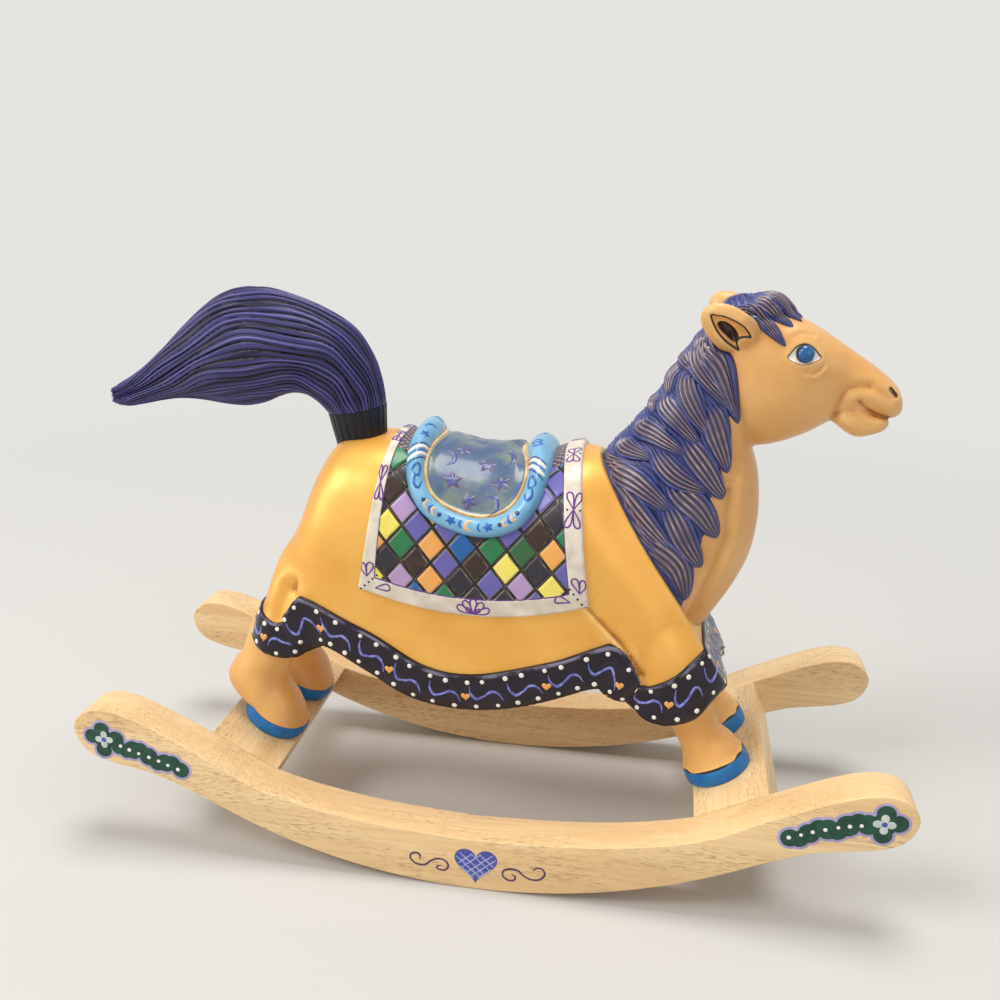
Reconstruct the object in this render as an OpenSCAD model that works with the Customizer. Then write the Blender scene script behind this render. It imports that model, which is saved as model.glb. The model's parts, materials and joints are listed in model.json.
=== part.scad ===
// Tabletop rocking horse: a painted cast horse in a coat, standing on a wooden rocker base.
// +X is the way the horse faces, +Z is up, and the origin is on the floor midway between the
// lines where the two rockers touch it.

/* [Rockers] */
// Overall length of each rocker
rocker_len = 356; // [340:1:376]
// Thickness of the rocker boards
board_t = 19; // [16:0.5:22]
// Distance between the outer faces of the two rockers
base_w = 141; // [130:1:160]
// Radius of the arc that rolls on the floor
arc_r = 258; // [250:1:290]
// Height of a rocker at its middle
rocker_mid_h = 23.8; // [20:0.2:28]
// Height of the rounded paddle at each end of a rocker
paddle_h = 25; // [22:0.5:28]
// Height of the underside of a paddle above the floor
paddle_rise = 41.4; // [38:0.2:46]

/* [Rails] */
// Angle of each rail round the floor arc, from the middle
rail_angle = 26.5; // [24:0.5:28]
// Width of a rail, along the rocker
rail_w = 33.3; // [30:0.1:38]
// Thickness of a rail
rail_t = 16.5; // [14:0.5:17]
// Distance from the floor arc in to the top face of a rail
rail_seat = 17.8; // [17.5:0.1:20]
// Diameter of the dowels that join rails to rockers
dowel_d = 6; // [5:0.5:8]
// Length of a dowel
dowel_len = 24; // [18:1:28]
// Distance between the two dowels at a rail's end
dowel_pitch = 17; // [13:1:20]

/* [Legs and hooves] */
// Radius of a hoof
hoof_r = 14.8; // [13:0.2:16]
// Height of the painted hoof band
hoof_h = 6.8; // [5:0.2:9]
// Distance of each hoof's centre from the middle plane
track_half = 19; // [18:0.5:22]
// How far a front hoof stands inboard of its rail's centre line
front_inset = 4.5; // [2:0.5:6]
// How far a rear hoof stands inboard of its rail's centre line
rear_inset = 2; // [0:0.5:4]
// Diameter of the round tenon on top of a leg
leg_tenon_d = 13; // [10:0.5:15]
// Length of that tenon
leg_tenon_len = 12; // [8:1:14]

/* [Hoof screws] */
// Thread diameter of a hoof screw
screw_d = 4; // [3:0.5:5]
// Length of a hoof screw below its head
screw_len = 27; // [25:1:30]
// Diameter of a screw's head
screw_head_d = 8; // [7:0.5:10]
// Height of a screw's head
screw_head_h = 3; // [2:0.5:4]
// Outer diameter of a washer
washer_d = 10; // [9:0.5:12]
// Thickness of a washer
washer_t = 1; // [0.6:0.2:1.6]
// Outer diameter of the brass insert in a hoof
insert_d = 8; // [7:0.5:10]
// Length of the brass insert
insert_len = 12; // [10:1:14]

/* [Body] */
// Width of the body across the blanket
body_w = 79; // [74:1:84]
// Height of the croup above the rails
croup_h = 138; // [132:1:144]
// Wall of the hollow castings
cast_wall = 4.5; // [3.5:0.5:6]
// Diameter of the pour hole in the belly
pour_d = 18; // [12:1:24]
// Height of the front cuffs above the rails
front_cuff_h = 31; // [29:0.5:34]
// Height of the rear cuffs above the rails
rear_cuff_h = 42.5; // [40:0.5:46]

/* [Neck and head] */
// Width of the neck where it meets the collar
neck_w = 56; // [50:1:62]
// Width of the head across the cheeks
head_w = 36; // [32:1:40]
// Diameter of the peg that locates the neck in the collar
neck_peg_d = 22; // [16:1:26]
// Length of that peg
neck_peg_len = 14; // [10:1:18]
// Diameter of the casting hole up through the peg
neck_bore_d = 10; // [6:1:12]
// Wall of the hollow neck
neck_wall = 5; // [4:0.5:8]
// Diameter of an eye
eye_d = 8; // [7:0.2:9]
// How far an eye stands out of its socket
eye_proud = 1.6; // [1:0.2:2.4]

/* [Tail] */
// Width of the tail at its fullest
tail_w = 36; // [30:1:40]
// Diameter of the dock, the stub that the tail stands on, at its top
dock_d = 28; // [25:0.5:30]
// Height of the dock above its seat on the croup
dock_h = 12; // [9:1:15]
// Depth of the dock's seat in the body
dock_sink = 8; // [6:1:10]
// Diameter of the wooden peg through the dock
tail_peg_d = 8; // [6:0.5:10]
// How far the peg reaches into the tail, and into the body below the dock
tail_peg_grip = 12; // [8:1:15]

/* [Saddle and blanket] */
// Thickness of the blanket
blanket_t = 2.4; // [1.6:0.2:3.2]
// Length of the blanket along the spine
blanket_len = 83; // [76:1:90]
// How far the blanket widens from the spine to its lower corners, at each end
blanket_flare = 8; // [4:0.5:10]
// Height of the blanket's lower edge above the rails, at its middle
blanket_low = 73; // [68:1:84]
// Thickness of the saddle
saddle_t = 5; // [4:0.5:7]
// Length of the saddle over its rim
saddle_len = 62; // [56:1:66]
// Width of the rim round the seat
rim_w = 11; // [8:0.5:13]
// Depth of the seat below the rim
seat_sink = 1.8; // [1:0.2:2.6]
// Height of the saddle's lowest edge above the rails
saddle_low = 106; // [100:1:112]

/* [Hidden] */
$fn = 64;
eps = 0.01;
// Reach of a cut that runs past everything
reach = 200;
// Points round a ring of a skin
ring_n = 24;
// Gaps between neighbouring pieces, each on one side
glue = 0.2;
dowel_fit = 0.05;
screw_fit = 0.25;
peg_fit = 0.15;
end_gap = 0.5;

wood = [0.87, 0.72, 0.50];
skin = [0.86, 0.65, 0.37];
gold = [0.90, 0.62, 0.22];
indigo = [0.22, 0.20, 0.42];
hoof_blue = [0.03, 0.38, 0.68];
sky = [0.38, 0.62, 0.82];
cream = [0.88, 0.84, 0.78];
steel = [0.62, 0.62, 0.64];
brass = [0.78, 0.62, 0.28];

rail_len = base_w - 2 * board_t;
rail_y = rail_len / 2;
rail_r = arc_r - rail_seat;
rail_x = rail_r * sin(rail_angle);
rail_z = arc_r - rail_r * cos(rail_angle);

// ---------- curves and skins ----------

// One step along a smooth curve through b and c, with a and d as its neighbours.
function curve_point(a, b, c, d, t) =
    0.5 * (2 * b + (c - a) * t + (2 * a - 5 * b + 4 * c - d) * t * t
           + (3 * b - a - 3 * c + d) * t * t * t);
function refine(s, n) = concat(
    [for (i = [0:len(s) - 2]) for (j = [0:n - 1])
        curve_point(s[max(i - 1, 0)], s[i], s[i + 1], s[min(i + 2, len(s) - 1)], j / n)],
    [s[len(s) - 1]]);
function flatten(l) = [for (a = l) for (b = a) b];
function bend(v, n) = sign(v) * pow(abs(v), 2 / n);

// A station is [upper x, upper z, lower x, lower z, half width, upper squareness, lower squareness]:
// the line across the piece in its middle plane, and the half width square to that line.
function station_ring(s, grow, turn) =
    let (cx = (s[0] + s[2]) / 2, cz = (s[1] + s[3]) / 2,
         dx = (s[0] - s[2]) / 2, dz = (s[1] - s[3]) / 2,
         a = norm([dx, dz]), k = (a + grow) / a)
    [for (i = [0:ring_n - 1])
        let (t = turn * 360 * i / ring_n, n = cos(t) > 0 ? s[5] : s[6],
             u = bend(cos(t), n) * k, v = bend(sin(t), n) * (s[4] + grow))
        [cx + dx * u, v, cz + dz * u]];

// Which way round the rings go, so that the skin faces outwards.
function turn_of(a, b) =
    (a[0] - a[2]) * (b[1] + b[3] - a[1] - a[3]) > (a[1] - a[3]) * (b[0] + b[2] - a[0] - a[2]) ? -1 : 1;

module skin_rings(rings) {
    n = len(rings);
    k = len(rings[0]);
    sides = [for (r = [0:n - 2]) for (i = [0:k - 1])
        let (a = r * k + i, b = r * k + (i + 1) % k)
        each [[a, b, b + k], [a, b + k, a + k]]];
    caps = [[for (i = [k - 1:-1:0]) i], [for (i = [0:k - 1]) (n - 1) * k + i]];
    polyhedron(points = flatten(rings), faces = concat(sides, caps));
}

module loft(stations, steps = 2, grow = 0, y = 0) {
    turn = turn_of(stations[0], stations[1]);
    rings = [for (s = refine(stations, steps)) station_ring(s, grow, turn)];
    translate([0, y, 0]) skin_rings(rings);
}

// ---------- rockers ----------

paddle_reach = 59;
arc_steps = 14;
tip_x = rocker_len / 2;
arc_end = asin((tip_x - paddle_reach) / arc_r);
paddle_top = paddle_rise + paddle_h;
rail_in = rail_w / 2 * cos(rail_angle);
rail_up = rail_w / 2 * sin(rail_angle);

// The sole is an arc in short flats, with one flat centred under the middle.
flat_half = arc_end / (2 * arc_steps + 1);
function arc_point(a) = [arc_r * sin(a), arc_r * (cos(flat_half) - cos(a))];
sole = [for (i = [0:arc_steps]) arc_point(flat_half * (2 * i + 1))];
paddle = [
    sole[arc_steps],
    [tip_x - 38, paddle_rise - 4],
    [tip_x - 17, paddle_rise],
    [tip_x - 4.8, paddle_rise + paddle_h * 0.2],
    [tip_x, paddle_rise + paddle_h * 0.6],
    [tip_x - 4.5, paddle_top - 2.4],
    [tip_x - 14, paddle_top],
    [tip_x - 29, paddle_top - 3.6],
    [rail_x + rail_in, rail_z + rail_up],
    [rail_x - rail_in, rail_z - rail_up],
    [rail_x / 2 - 4, rocker_mid_h + 3.2],
    [0, rocker_mid_h]];
half_outline = concat([for (i = [0:arc_steps - 1]) sole[i]], refine(paddle, 4));
function mirrored(p) = [-p[0], p[1]];
outline = concat(half_outline, [for (i = [len(half_outline) - 2:-1:0]) mirrored(half_outline[i])]);

// Moves children on to a rail: x runs along the rocker, and z = 0 is the top face.
module at_rail(front) {
    side = front ? 1 : -1;
    translate([side * rail_x, 0, rail_z]) rotate([0, -side * rail_angle, 0]) children();
}

module dowel_set(d, len_each) {
    for (front = [true, false]) for (side = [-1, 1]) for (p = [-1, 1])
        at_rail(front) translate([p * dowel_pitch / 2, side * rail_y, -rail_t / 2])
            rotate([90, 0, 0]) cylinder(d = d, h = len_each, center = true);
}

module rocker(side) {
    color(wood) difference() {
        translate([0, side * (rail_y + board_t / 2), 0])
            rotate([90, 0, 0]) linear_extrude(height = board_t, center = true) polygon(outline);
        dowel_set(dowel_d + 2 * dowel_fit, dowel_len + 2 * end_gap);
    }
}

module rocker_left() rocker(1);
module rocker_right() rocker(-1);

// ---------- rails ----------

function hoof_inset(front) = front ? front_inset : rear_inset;

// Moves children to the middle of a hoof's footprint, with z square to the rail.
module at_hoof(front, side) {
    at_rail(front)
        translate([(front ? -1 : 1) * hoof_inset(front), side * track_half, 0]) children();
}

module at_every_hoof() {
    for (front = [true, false]) for (side = [-1, 1]) at_hoof(front, side) children();
}

sink_depth = washer_t + screw_head_h + end_gap;

module rail(front) {
    color(wood) difference() {
        at_rail(front) translate([-rail_w / 2, -rail_y, -rail_t]) cube([rail_w, rail_len, rail_t]);
        dowel_set(dowel_d + 2 * dowel_fit, dowel_len + 2 * end_gap);
        for (side = [-1, 1]) at_hoof(front, side) translate([0, 0, -rail_t - eps]) {
            cylinder(d = screw_d + 2 * screw_fit, h = rail_t + 2 * eps);
            cylinder(d = washer_d + 2 * screw_fit, h = sink_depth + eps);
        }
    }
}

module rail_front() rail(true);
module rail_rear() rail(false);

module rail_dowels() {
    color(wood) dowel_set(dowel_d, dowel_len);
}

// ---------- hoof screws, washers and inserts ----------

washer_top = sink_depth - rail_t;
head_top = washer_top - washer_t;

module hoof_screws() {
    color(steel) at_every_hoof() difference() {
        union() {
            translate([0, 0, head_top - screw_head_h]) cylinder(d = screw_head_d, h = screw_head_h);
            translate([0, 0, head_top - eps]) cylinder(d = screw_d, h = screw_len + eps);
        }
        translate([0, 0, head_top - screw_head_h - eps])
            cylinder(d = screw_d * 0.7, h = screw_head_h * 0.6, $fn = 6);
    }
}

module hoof_washers() {
    color(steel) at_every_hoof() translate([0, 0, head_top]) difference() {
        cylinder(d = washer_d, h = washer_t);
        translate([0, 0, -eps]) cylinder(d = screw_d + 2 * dowel_fit, h = washer_t + 2 * eps);
    }
}

insert_low = 1;

module hoof_inserts() {
    color(brass) at_every_hoof() translate([0, 0, insert_low]) difference() {
        cylinder(d = insert_d, h = insert_len);
        translate([0, 0, -eps]) cylinder(d = screw_d + 2 * dowel_fit, h = insert_len + 2 * eps);
    }
}

// ---------- legs ----------

// A point over a footprint: along the rail towards +x, and up square to the rail.
function hoof_spot(front, along, up) =
    let (s = front ? 1 : -1, a = along - s * hoof_inset(front))
    [s * (rail_x - up * sin(rail_angle)) + a * cos(rail_angle),
     rail_z + s * a * sin(rail_angle) + up * cos(rail_angle)];
function over_hoof(front, up, ahead, behind, half_wide) =
    concat(hoof_spot(front, ahead, up), hoof_spot(front, -behind, up), [half_wide, 2, 2]);

// A cuff is [x, z, tilt]: where the leg's top meets the coat, tilted up towards +x.
front_cuff = [rail_x - 23, rail_z + front_cuff_h, 14];
rear_cuff = [3 - rail_x, rail_z + rear_cuff_h, 0];
leg_top_r = 11.5;
cuff_clear = 32;
function cuff(front) = front ? front_cuff : rear_cuff;
function leg_top(front) =
    let (c = cuff(front), dx = leg_top_r * cos(c[2]), dz = leg_top_r * sin(c[2]))
    [c[0] + dx, c[1] + dz, c[0] - dx, c[1] - dz, leg_top_r, 2, 2];

module at_cuff(front, side) {
    c = cuff(front);
    translate([c[0], side * track_half, c[1]]) rotate([0, -c[2], 0]) children();
}

function rear_leg_at(x1, z1, x2, z2, half_wide) =
    [x1 - rail_x, rail_z + z1, x2 - rail_x, rail_z + z2, half_wide, 2, 2];
rear_leg = [
    over_hoof(false, 0, hoof_r, hoof_r, hoof_r),
    over_hoof(false, hoof_h, hoof_r - 0.6, hoof_r - 0.4, hoof_r - 0.3),
    rear_leg_at(14.5, 8.5, -14, 14, 14.6),
    rear_leg_at(11, 18, -18.5, 18, 14),
    rear_leg_at(11.5, 28, -14, 30, 12.5),
    leg_top(false)];
front_leg = [
    over_hoof(true, 0, hoof_r, hoof_r, hoof_r),
    over_hoof(true, hoof_h, hoof_r - 1.5, hoof_r - 0.6, hoof_r - 0.8),
    over_hoof(true, hoof_h + 6, 9.5, 11.5, 12.2),
    over_hoof(true, hoof_h + 13, 8.5, 10.5, 11.2),
    leg_top(true)];

module leg(front, side) {
    color(skin) difference() {
        union() {
            loft(front ? front_leg : rear_leg, y = side * track_half);
            at_cuff(front, side) translate([0, 0, -2]) cylinder(d = leg_tenon_d, h = leg_tenon_len + 2);
        }
        at_hoof(front, side) {
            translate([0, 0, -1]) cylinder(d = insert_d + 2 * dowel_fit, h = insert_low + insert_len + 1);
            translate([0, 0, -1]) cylinder(d = screw_d + 2 * screw_fit, h = head_top + screw_len + end_gap + 1);
        }
    }
}

module leg_front_left() leg(true, 1);
module leg_front_right() leg(true, -1);
module leg_rear_left() leg(false, 1);
module leg_rear_right() leg(false, -1);

// ---------- body casting ----------

// Tops hang from the croup, and hems stand above the rails. The back dips under the saddle.
half_w = body_w / 2;
croup = rail_z + croup_h;
hem_square = 8;
body_mid = (front_cuff[0] + rear_cuff[0]) / 2;
half_span = (front_cuff[0] - rear_cuff[0]) / 2;

// A trunk station stands at a share of the half span between front and rear cuffs.
function trunk(share, drop, hem, wide, n) =
    let (x = body_mid + share * half_span)
    [x, croup - drop, x, rail_z + hem, wide, n, hem_square];
trunk_stations = [
    trunk(-1.03, 64, 60, 15, 2.2),
    trunk(-0.98, 54, 55, half_w - 14, 2.3),
    trunk(-0.89, 35, 50, half_w - 8, 2.4),
    trunk(-0.8, 18, 48, half_w - 4, 2.5),
    trunk(-0.68, 5, 44, half_w - 1, 2.6),
    trunk(-0.53, 0, 37, half_w, 2.6),
    trunk(-0.36, 0.5, 29, half_w + 0.5, 2.6),
    trunk(-0.17, 6, 22.5, half_w + 1, 2.6),
    trunk(0.05, 10.5, 21, half_w + 1, 2.6),
    trunk(0.28, 6.5, 25, half_w + 0.5, 2.6),
    trunk(0.47, 0.5, 32.5, half_w, 2.6),
    trunk(0.64, 5, 39, half_w - 1.5, 2.5),
    trunk(0.81, 18, 42, half_w - 3, 2.4),
    trunk(0.96, 40, 40, half_w - 5, 2.3),
    trunk(1.085, 64, 40, half_w - 9, 2.2),
    trunk(1.16, 80, 44, half_w - 16, 2.1)];
inner_stations = [for (i = [4:len(trunk_stations) - 5]) trunk_stations[i]];
back_stations = [for (i = [3:len(trunk_stations) - 4]) trunk_stations[i]];

pour_x = body_mid + 5;
hem_mid = rail_z + 21;

// The collar is the flat where the neck stands on the body, from the withers to the chest.
collar_hi = [front_cuff[0] - 42, croup - 3];
collar_lo = [front_cuff[0] + 7, rail_z + 58];
collar_mid = (collar_hi + collar_lo) / 2;
collar_tilt = atan2(collar_hi[1] - collar_lo[1], collar_lo[0] - collar_hi[0]);

// Moves children to the collar: z points up the neck, out of the body.
module at_collar() {
    translate([collar_mid[0], 0, collar_mid[1]]) rotate([0, collar_tilt, 0]) children();
}

blanket_mid = body_mid + 2.5;
dock_foot_d = dock_d - 4;
dock_gap = 4.5;
dock_lean = 14;
dock_at = [blanket_mid - blanket_len / 2 - dock_d / 2 - dock_gap, croup - 4.5];

// Moves children to the dock's seat: z points up the tail's first stretch.
module at_dock() {
    translate([dock_at[0], 0, dock_at[1]]) rotate([0, -dock_lean, 0]) children();
}

tail_peg_low = -dock_sink - tail_peg_grip;
tail_peg_len = 2 * tail_peg_grip + dock_sink + dock_h;
peg_wall = 4;

// A sleeve station's line is measured from the middle of its cuff.
function sleeve_at(cuff, x1, z1, x2, z2, half_wide) =
    [cuff[0] + x1, cuff[1] + z1, cuff[0] + x2, cuff[1] + z2, half_wide, 2.2, 2.2];
rear_sleeve = [
    sleeve_at(rear_cuff, 24, 20, -5, 20, 18.5),
    sleeve_at(rear_cuff, 24, 10, -7.5, 10, 18),
    sleeve_at(rear_cuff, 24, -3, -11, -3, 17)];
front_sleeve = [
    sleeve_at(front_cuff, 15, 33, -26, 33, 18),
    sleeve_at(front_cuff, 18, 21, -24, 15, 18.5),
    sleeve_at(front_cuff, 18, 1, -22, -9, 18.5)];

module body_casting() {
    color(gold) difference() {
        union() {
            loft(trunk_stations);
            for (side = [-1, 1]) {
                loft(rear_sleeve, y = side * track_half);
                loft(front_sleeve, y = side * track_half);
            }
        }
        difference() {
            loft(inner_stations, grow = -cast_wall);
            at_collar() translate([-reach / 2, -reach / 2, -neck_peg_len - cast_wall]) cube(reach);
            at_dock() translate([0, 0, -dock_sink - cast_wall])
                cylinder(d = dock_d + 2 * cast_wall, h = reach);
            at_dock() translate([0, 0, tail_peg_low - peg_wall])
                cylinder(d = tail_peg_d + 2 * peg_wall, h = tail_peg_len);
        }
        at_collar() translate([-reach / 2, -reach / 2, 0]) cube(reach);
        at_collar() translate([0, 0, -neck_peg_len - end_gap])
            cylinder(d = neck_peg_d + 2 * peg_fit, h = neck_peg_len + 1);
        at_dock() dock_shape(peg_fit);
        at_dock() translate([0, 0, tail_peg_low - end_gap])
            cylinder(d = tail_peg_d + 2 * dowel_fit, h = tail_peg_len);
        for (front = [true, false]) for (side = [-1, 1]) at_cuff(front, side) {
            cylinder(d = leg_tenon_d + 2 * peg_fit, h = leg_tenon_len + end_gap);
            translate([0, 0, -cuff_clear]) cylinder(r = cuff_clear, h = cuff_clear);
        }
        translate([pour_x, 0, rail_z]) cylinder(d = pour_d + 2 * peg_fit, h = hem_mid + 2 * cast_wall - rail_z);
    }
}

plug_lip = 1.2;

module belly_plug() {
    color(indigo) translate([pour_x, 0, hem_mid]) {
        cylinder(d = pour_d, h = cast_wall);
        translate([0, 0, -plug_lip]) cylinder(d = pour_d + 6, h = plug_lip);
    }
}

// ---------- neck, head and eyes ----------

// A neck or head station's line is measured from the middle of the collar.
function at_neck(x1, z1, x2, z2, half_wide, n_high, n_low) =
    [collar_mid[0] + x1, collar_mid[1] + z1, collar_mid[0] + x2, collar_mid[1] + z2,
     half_wide, n_high, n_low];
neck_stations = [
    concat(collar_hi, collar_lo, [neck_w / 2, 2, 2]),
    at_neck(-14.5, 50.5, 37.5, -14.5, neck_w / 2 - 3, 2, 2),
    at_neck(-4.5, 63.5, 43.5, 11.5, neck_w / 2 - 7, 2, 2),
    at_neck(4.5, 79.5, 42.5, 33.5, neck_w / 2 - 10, 2, 2),
    at_neck(14.5, 95.5, 37.5, 50.5, neck_w / 2 - 12, 2, 2)];
head_stations = [
    at_neck(17.5, 96.5, 21.5, 57.5, head_w / 2 - 7, 2, 2),
    at_neck(27.5, 105.5, 32.5, 47.5, head_w / 2 - 2, 2.2, 2),
    at_neck(40.5, 109.5, 43.5, 48, head_w / 2, 2.3, 2),
    at_neck(53.5, 104.5, 54.5, 52, head_w / 2 - 1, 2.5, 2),
    at_neck(66.5, 95, 65.5, 57.5, head_w / 2 - 4.5, 2.4, 2),
    at_neck(78.5, 87.5, 75.5, 57, head_w / 2 - 7, 2.2, 2),
    at_neck(86.5, 82.5, 83.5, 54, head_w / 2 - 7, 2.2, 2),
    at_neck(93.5, 77.5, 90.5, 55, head_w / 2 - 8.5, 2.2, 2),
    at_neck(97, 71.5, 95, 60.5, head_w / 2 - 13, 2, 2)];
ear_stations = [
    at_neck(34.5, 90.5, 16.5, 86.5, 6, 2, 2),
    at_neck(33.5, 96.5, 12.5, 93.5, 6.5, 2, 2),
    at_neck(30.5, 103.5, 14, 100.5, 5, 2, 2),
    at_neck(24.5, 111, 17.5, 110, 2, 2, 2)];
ear_y = head_w / 3;
ear_splay = 14;
ear_foot = collar_mid[1] + 88.5;

eye_x = collar_mid[0] + 54;
eye_z = collar_mid[1] + 89.5;
eye_out = head_w / 2 - 3.4;
eye_yaw = 12;
eye_back = 3;

// Moves children to the floor of an eye socket: z points out of the head.
module at_eye(side) {
    translate([eye_x, side * eye_out, eye_z])
        rotate([-side * 90, 0, -side * eye_yaw]) children();
}

module neck_and_head() {
    color(skin) difference() {
        union() {
            loft(neck_stations);
            loft(head_stations);
            for (side = [-1, 1]) translate([0, side * ear_y, ear_foot])
                rotate([-side * ear_splay, 0, 0]) translate([0, 0, -ear_foot]) loft(ear_stations);
            at_collar() translate([0, 0, -neck_peg_len]) cylinder(d = neck_peg_d, h = neck_peg_len + neck_wall);
        }
        for (side = [-1, 1]) at_eye(side) cylinder(d = eye_d + 2 * dowel_fit, h = reach);
        intersection() {
            loft([for (i = [0:len(neck_stations) - 2]) neck_stations[i]], grow = -neck_wall);
            at_collar() translate([-reach / 2, -reach / 2, neck_wall]) cube(reach);
        }
        at_collar() translate([0, 0, -neck_peg_len - eps])
            cylinder(d = neck_bore_d, h = neck_peg_len + 2 * neck_wall);
    }
}

module eye(side) {
    dome_r = (eye_d * eye_d / 4 + eye_proud * eye_proud) / (2 * eye_proud);
    color(hoof_blue) at_eye(side) rotate_extrude() intersection() {
        union() {
            square([eye_d / 2, eye_back]);
            translate([0, eye_back + eye_proud - dome_r]) circle(r = dome_r);
        }
        square([eye_d / 2, eye_back + eye_proud]);
    }
}

module eye_left() eye(1);
module eye_right() eye(-1);

// ---------- tail ----------

module dock_shape(fit) {
    translate([0, 0, -dock_sink]) cylinder(d = dock_foot_d + 2 * fit, h = dock_sink + eps);
    cylinder(d1 = dock_foot_d + 2 * fit, d2 = dock_d + 2 * fit, h = dock_h);
}

module tail_dock() {
    color(indigo) at_dock() difference() {
        dock_shape(0);
        translate([0, 0, -dock_sink - eps])
            cylinder(d = tail_peg_d + 2 * dowel_fit, h = dock_sink + dock_h + 2 * eps);
    }
}

module tail_peg() {
    color(wood) at_dock() translate([0, 0, tail_peg_low]) cylinder(d = tail_peg_d, h = tail_peg_len);
}

// The dock's top, as the tail's first station.
function dock_spot(x, z) =
    [dock_at[0] + x * cos(dock_lean) - z * sin(dock_lean),
     dock_at[1] + x * sin(dock_lean) + z * cos(dock_lean)];
seam_r = dock_d / 2;
seam = dock_spot(0, dock_h);

// A tail station's line is measured from the middle of the seam.
function at_tail(x1, z1, x2, z2, half_wide, n_high, n_low) =
    [seam[0] + x1, seam[1] + z1, seam[0] + x2, seam[1] + z2, half_wide, n_high, n_low];
tail_stations = [
    concat(dock_spot(seam_r, dock_h), dock_spot(-seam_r, dock_h), [seam_r, 2, 2]),
    at_tail(14, 16, -20.5, 8, tail_w / 2 - 2.5, 2, 2),
    at_tail(8.5, 31, -28.5, 9, tail_w / 2 - 1, 2, 2),
    at_tail(-5.5, 44, -35.5, 5.5, tail_w / 2, 2, 2),
    at_tail(-25.5, 52, -44.5, 2.5, tail_w / 2, 2, 2),
    at_tail(-48.5, 55, -55.5, 2, tail_w / 2 - 0.5, 2, 2),
    at_tail(-69.5, 44.5, -69.5, 3.5, tail_w / 2 - 3, 2, 2),
    at_tail(-87.5, 27, -84.5, 2.5, tail_w / 2 - 7, 2, 2),
    at_tail(-101.5, 14.5, -98.5, -1, tail_w / 2 - 11, 2, 2),
    at_tail(-112.5, 7.5, -109.5, -2.5, tail_w / 2 - 14.5, 2, 2),
    at_tail(-117, 3, -116, 0, 1.2, 2, 2)];

module tail() {
    color(indigo) difference() {
        loft(tail_stations);
        at_dock() translate([0, 0, dock_h - 1])
            cylinder(d = tail_peg_d + 2 * dowel_fit, h = tail_peg_grip + end_gap + 1);
    }
}

// ---------- blanket and saddle ----------

blanket_curve = 7;
blanket_steps = 8;
blanket_half = blanket_len / 2 + blanket_flare;
blanket_outline = concat(
    [[blanket_half - blanket_flare, croup + 20], [blanket_flare - blanket_half, croup + 20]],
    [for (i = [0:blanket_steps])
        let (u = 2 * i / blanket_steps - 1)
        [u * blanket_half, rail_z + blanket_low + blanket_curve * u * u]]);

// Cuts children to an outline in the side view.
module side_cut(shift) {
    intersection() {
        children(0);
        translate([shift, 0, 0]) rotate([90, 0, 0]) linear_extrude(height = reach, center = true) children(1);
    }
}

module saddle_blanket() {
    color(cream) difference() {
        side_cut(blanket_mid) {
            loft(back_stations, grow = blanket_t);
            polygon(blanket_outline);
        }
        loft(back_stations, grow = glue);
    }
}

saddle_mid = body_mid + 3;
saddle_base = blanket_t + glue;
saddle_top = saddle_base + saddle_t;

// A saddle station is measured from the saddle's middle, and its rise from the croup.
function saddle_line(along, rise) =
    let (x = saddle_mid + along)
    [x, croup + rise, x, rail_z + saddle_low - 76, half_w + 1 + saddle_top, 2.6, 4];
saddle_stations = [
    saddle_line(-41, 8),
    saddle_line(-30, 7),
    saddle_line(-21, 3.5),
    saddle_line(-10, -1.5),
    saddle_line(2, -3),
    saddle_line(13, -2),
    saddle_line(21, 0.5),
    saddle_line(29, 3.5),
    saddle_line(41, 4)];

saddle_drop = 26;

// The saddle hangs over the spine like a U on each side.
module saddle_shape(inset) {
    r = saddle_len / 2 - inset;
    drop = saddle_drop - inset;
    mid = rail_z + saddle_low + saddle_drop;
    polygon(concat(
        [[r, croup + 20], [-r, croup + 20]],
        [for (a = [180:15:360]) [r * cos(a), mid + drop * sin(a)]]));
}

module saddle() {
    color(sky) difference() {
        union() {
            side_cut(saddle_mid) {
                loft(saddle_stations);
                difference() {
                    saddle_shape(0);
                    saddle_shape(rim_w);
                }
            }
            side_cut(saddle_mid) {
                loft(saddle_stations, grow = -seat_sink);
                saddle_shape(rim_w - 1);
            }
        }
        loft(back_stations, grow = saddle_base);
    }
}

rocker_left();
rocker_right();
rail_front();
rail_rear();
rail_dowels();
hoof_screws();
hoof_washers();
hoof_inserts();
leg_front_left();
leg_front_right();
leg_rear_left();
leg_rear_right();
body_casting();
belly_plug();
neck_and_head();
eye_left();
eye_right();
tail_dock();
tail();
tail_peg();
saddle_blanket();
saddle();
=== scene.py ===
# A tabletop rocking horse: a painted cast horse in a coat, on a rubberwood rocker base.
# Sizes are in millimetres as a maker would write them, and MM brings them to metres.
# +X is the way the horse faces, -Y is the near side, and the floor is at z = 0.
import json
import math

import bpy
import numpy as np
from mathutils import Matrix, Vector
from mathutils.bvhtree import BVHTree
from mathutils.kdtree import KDTree

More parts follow.
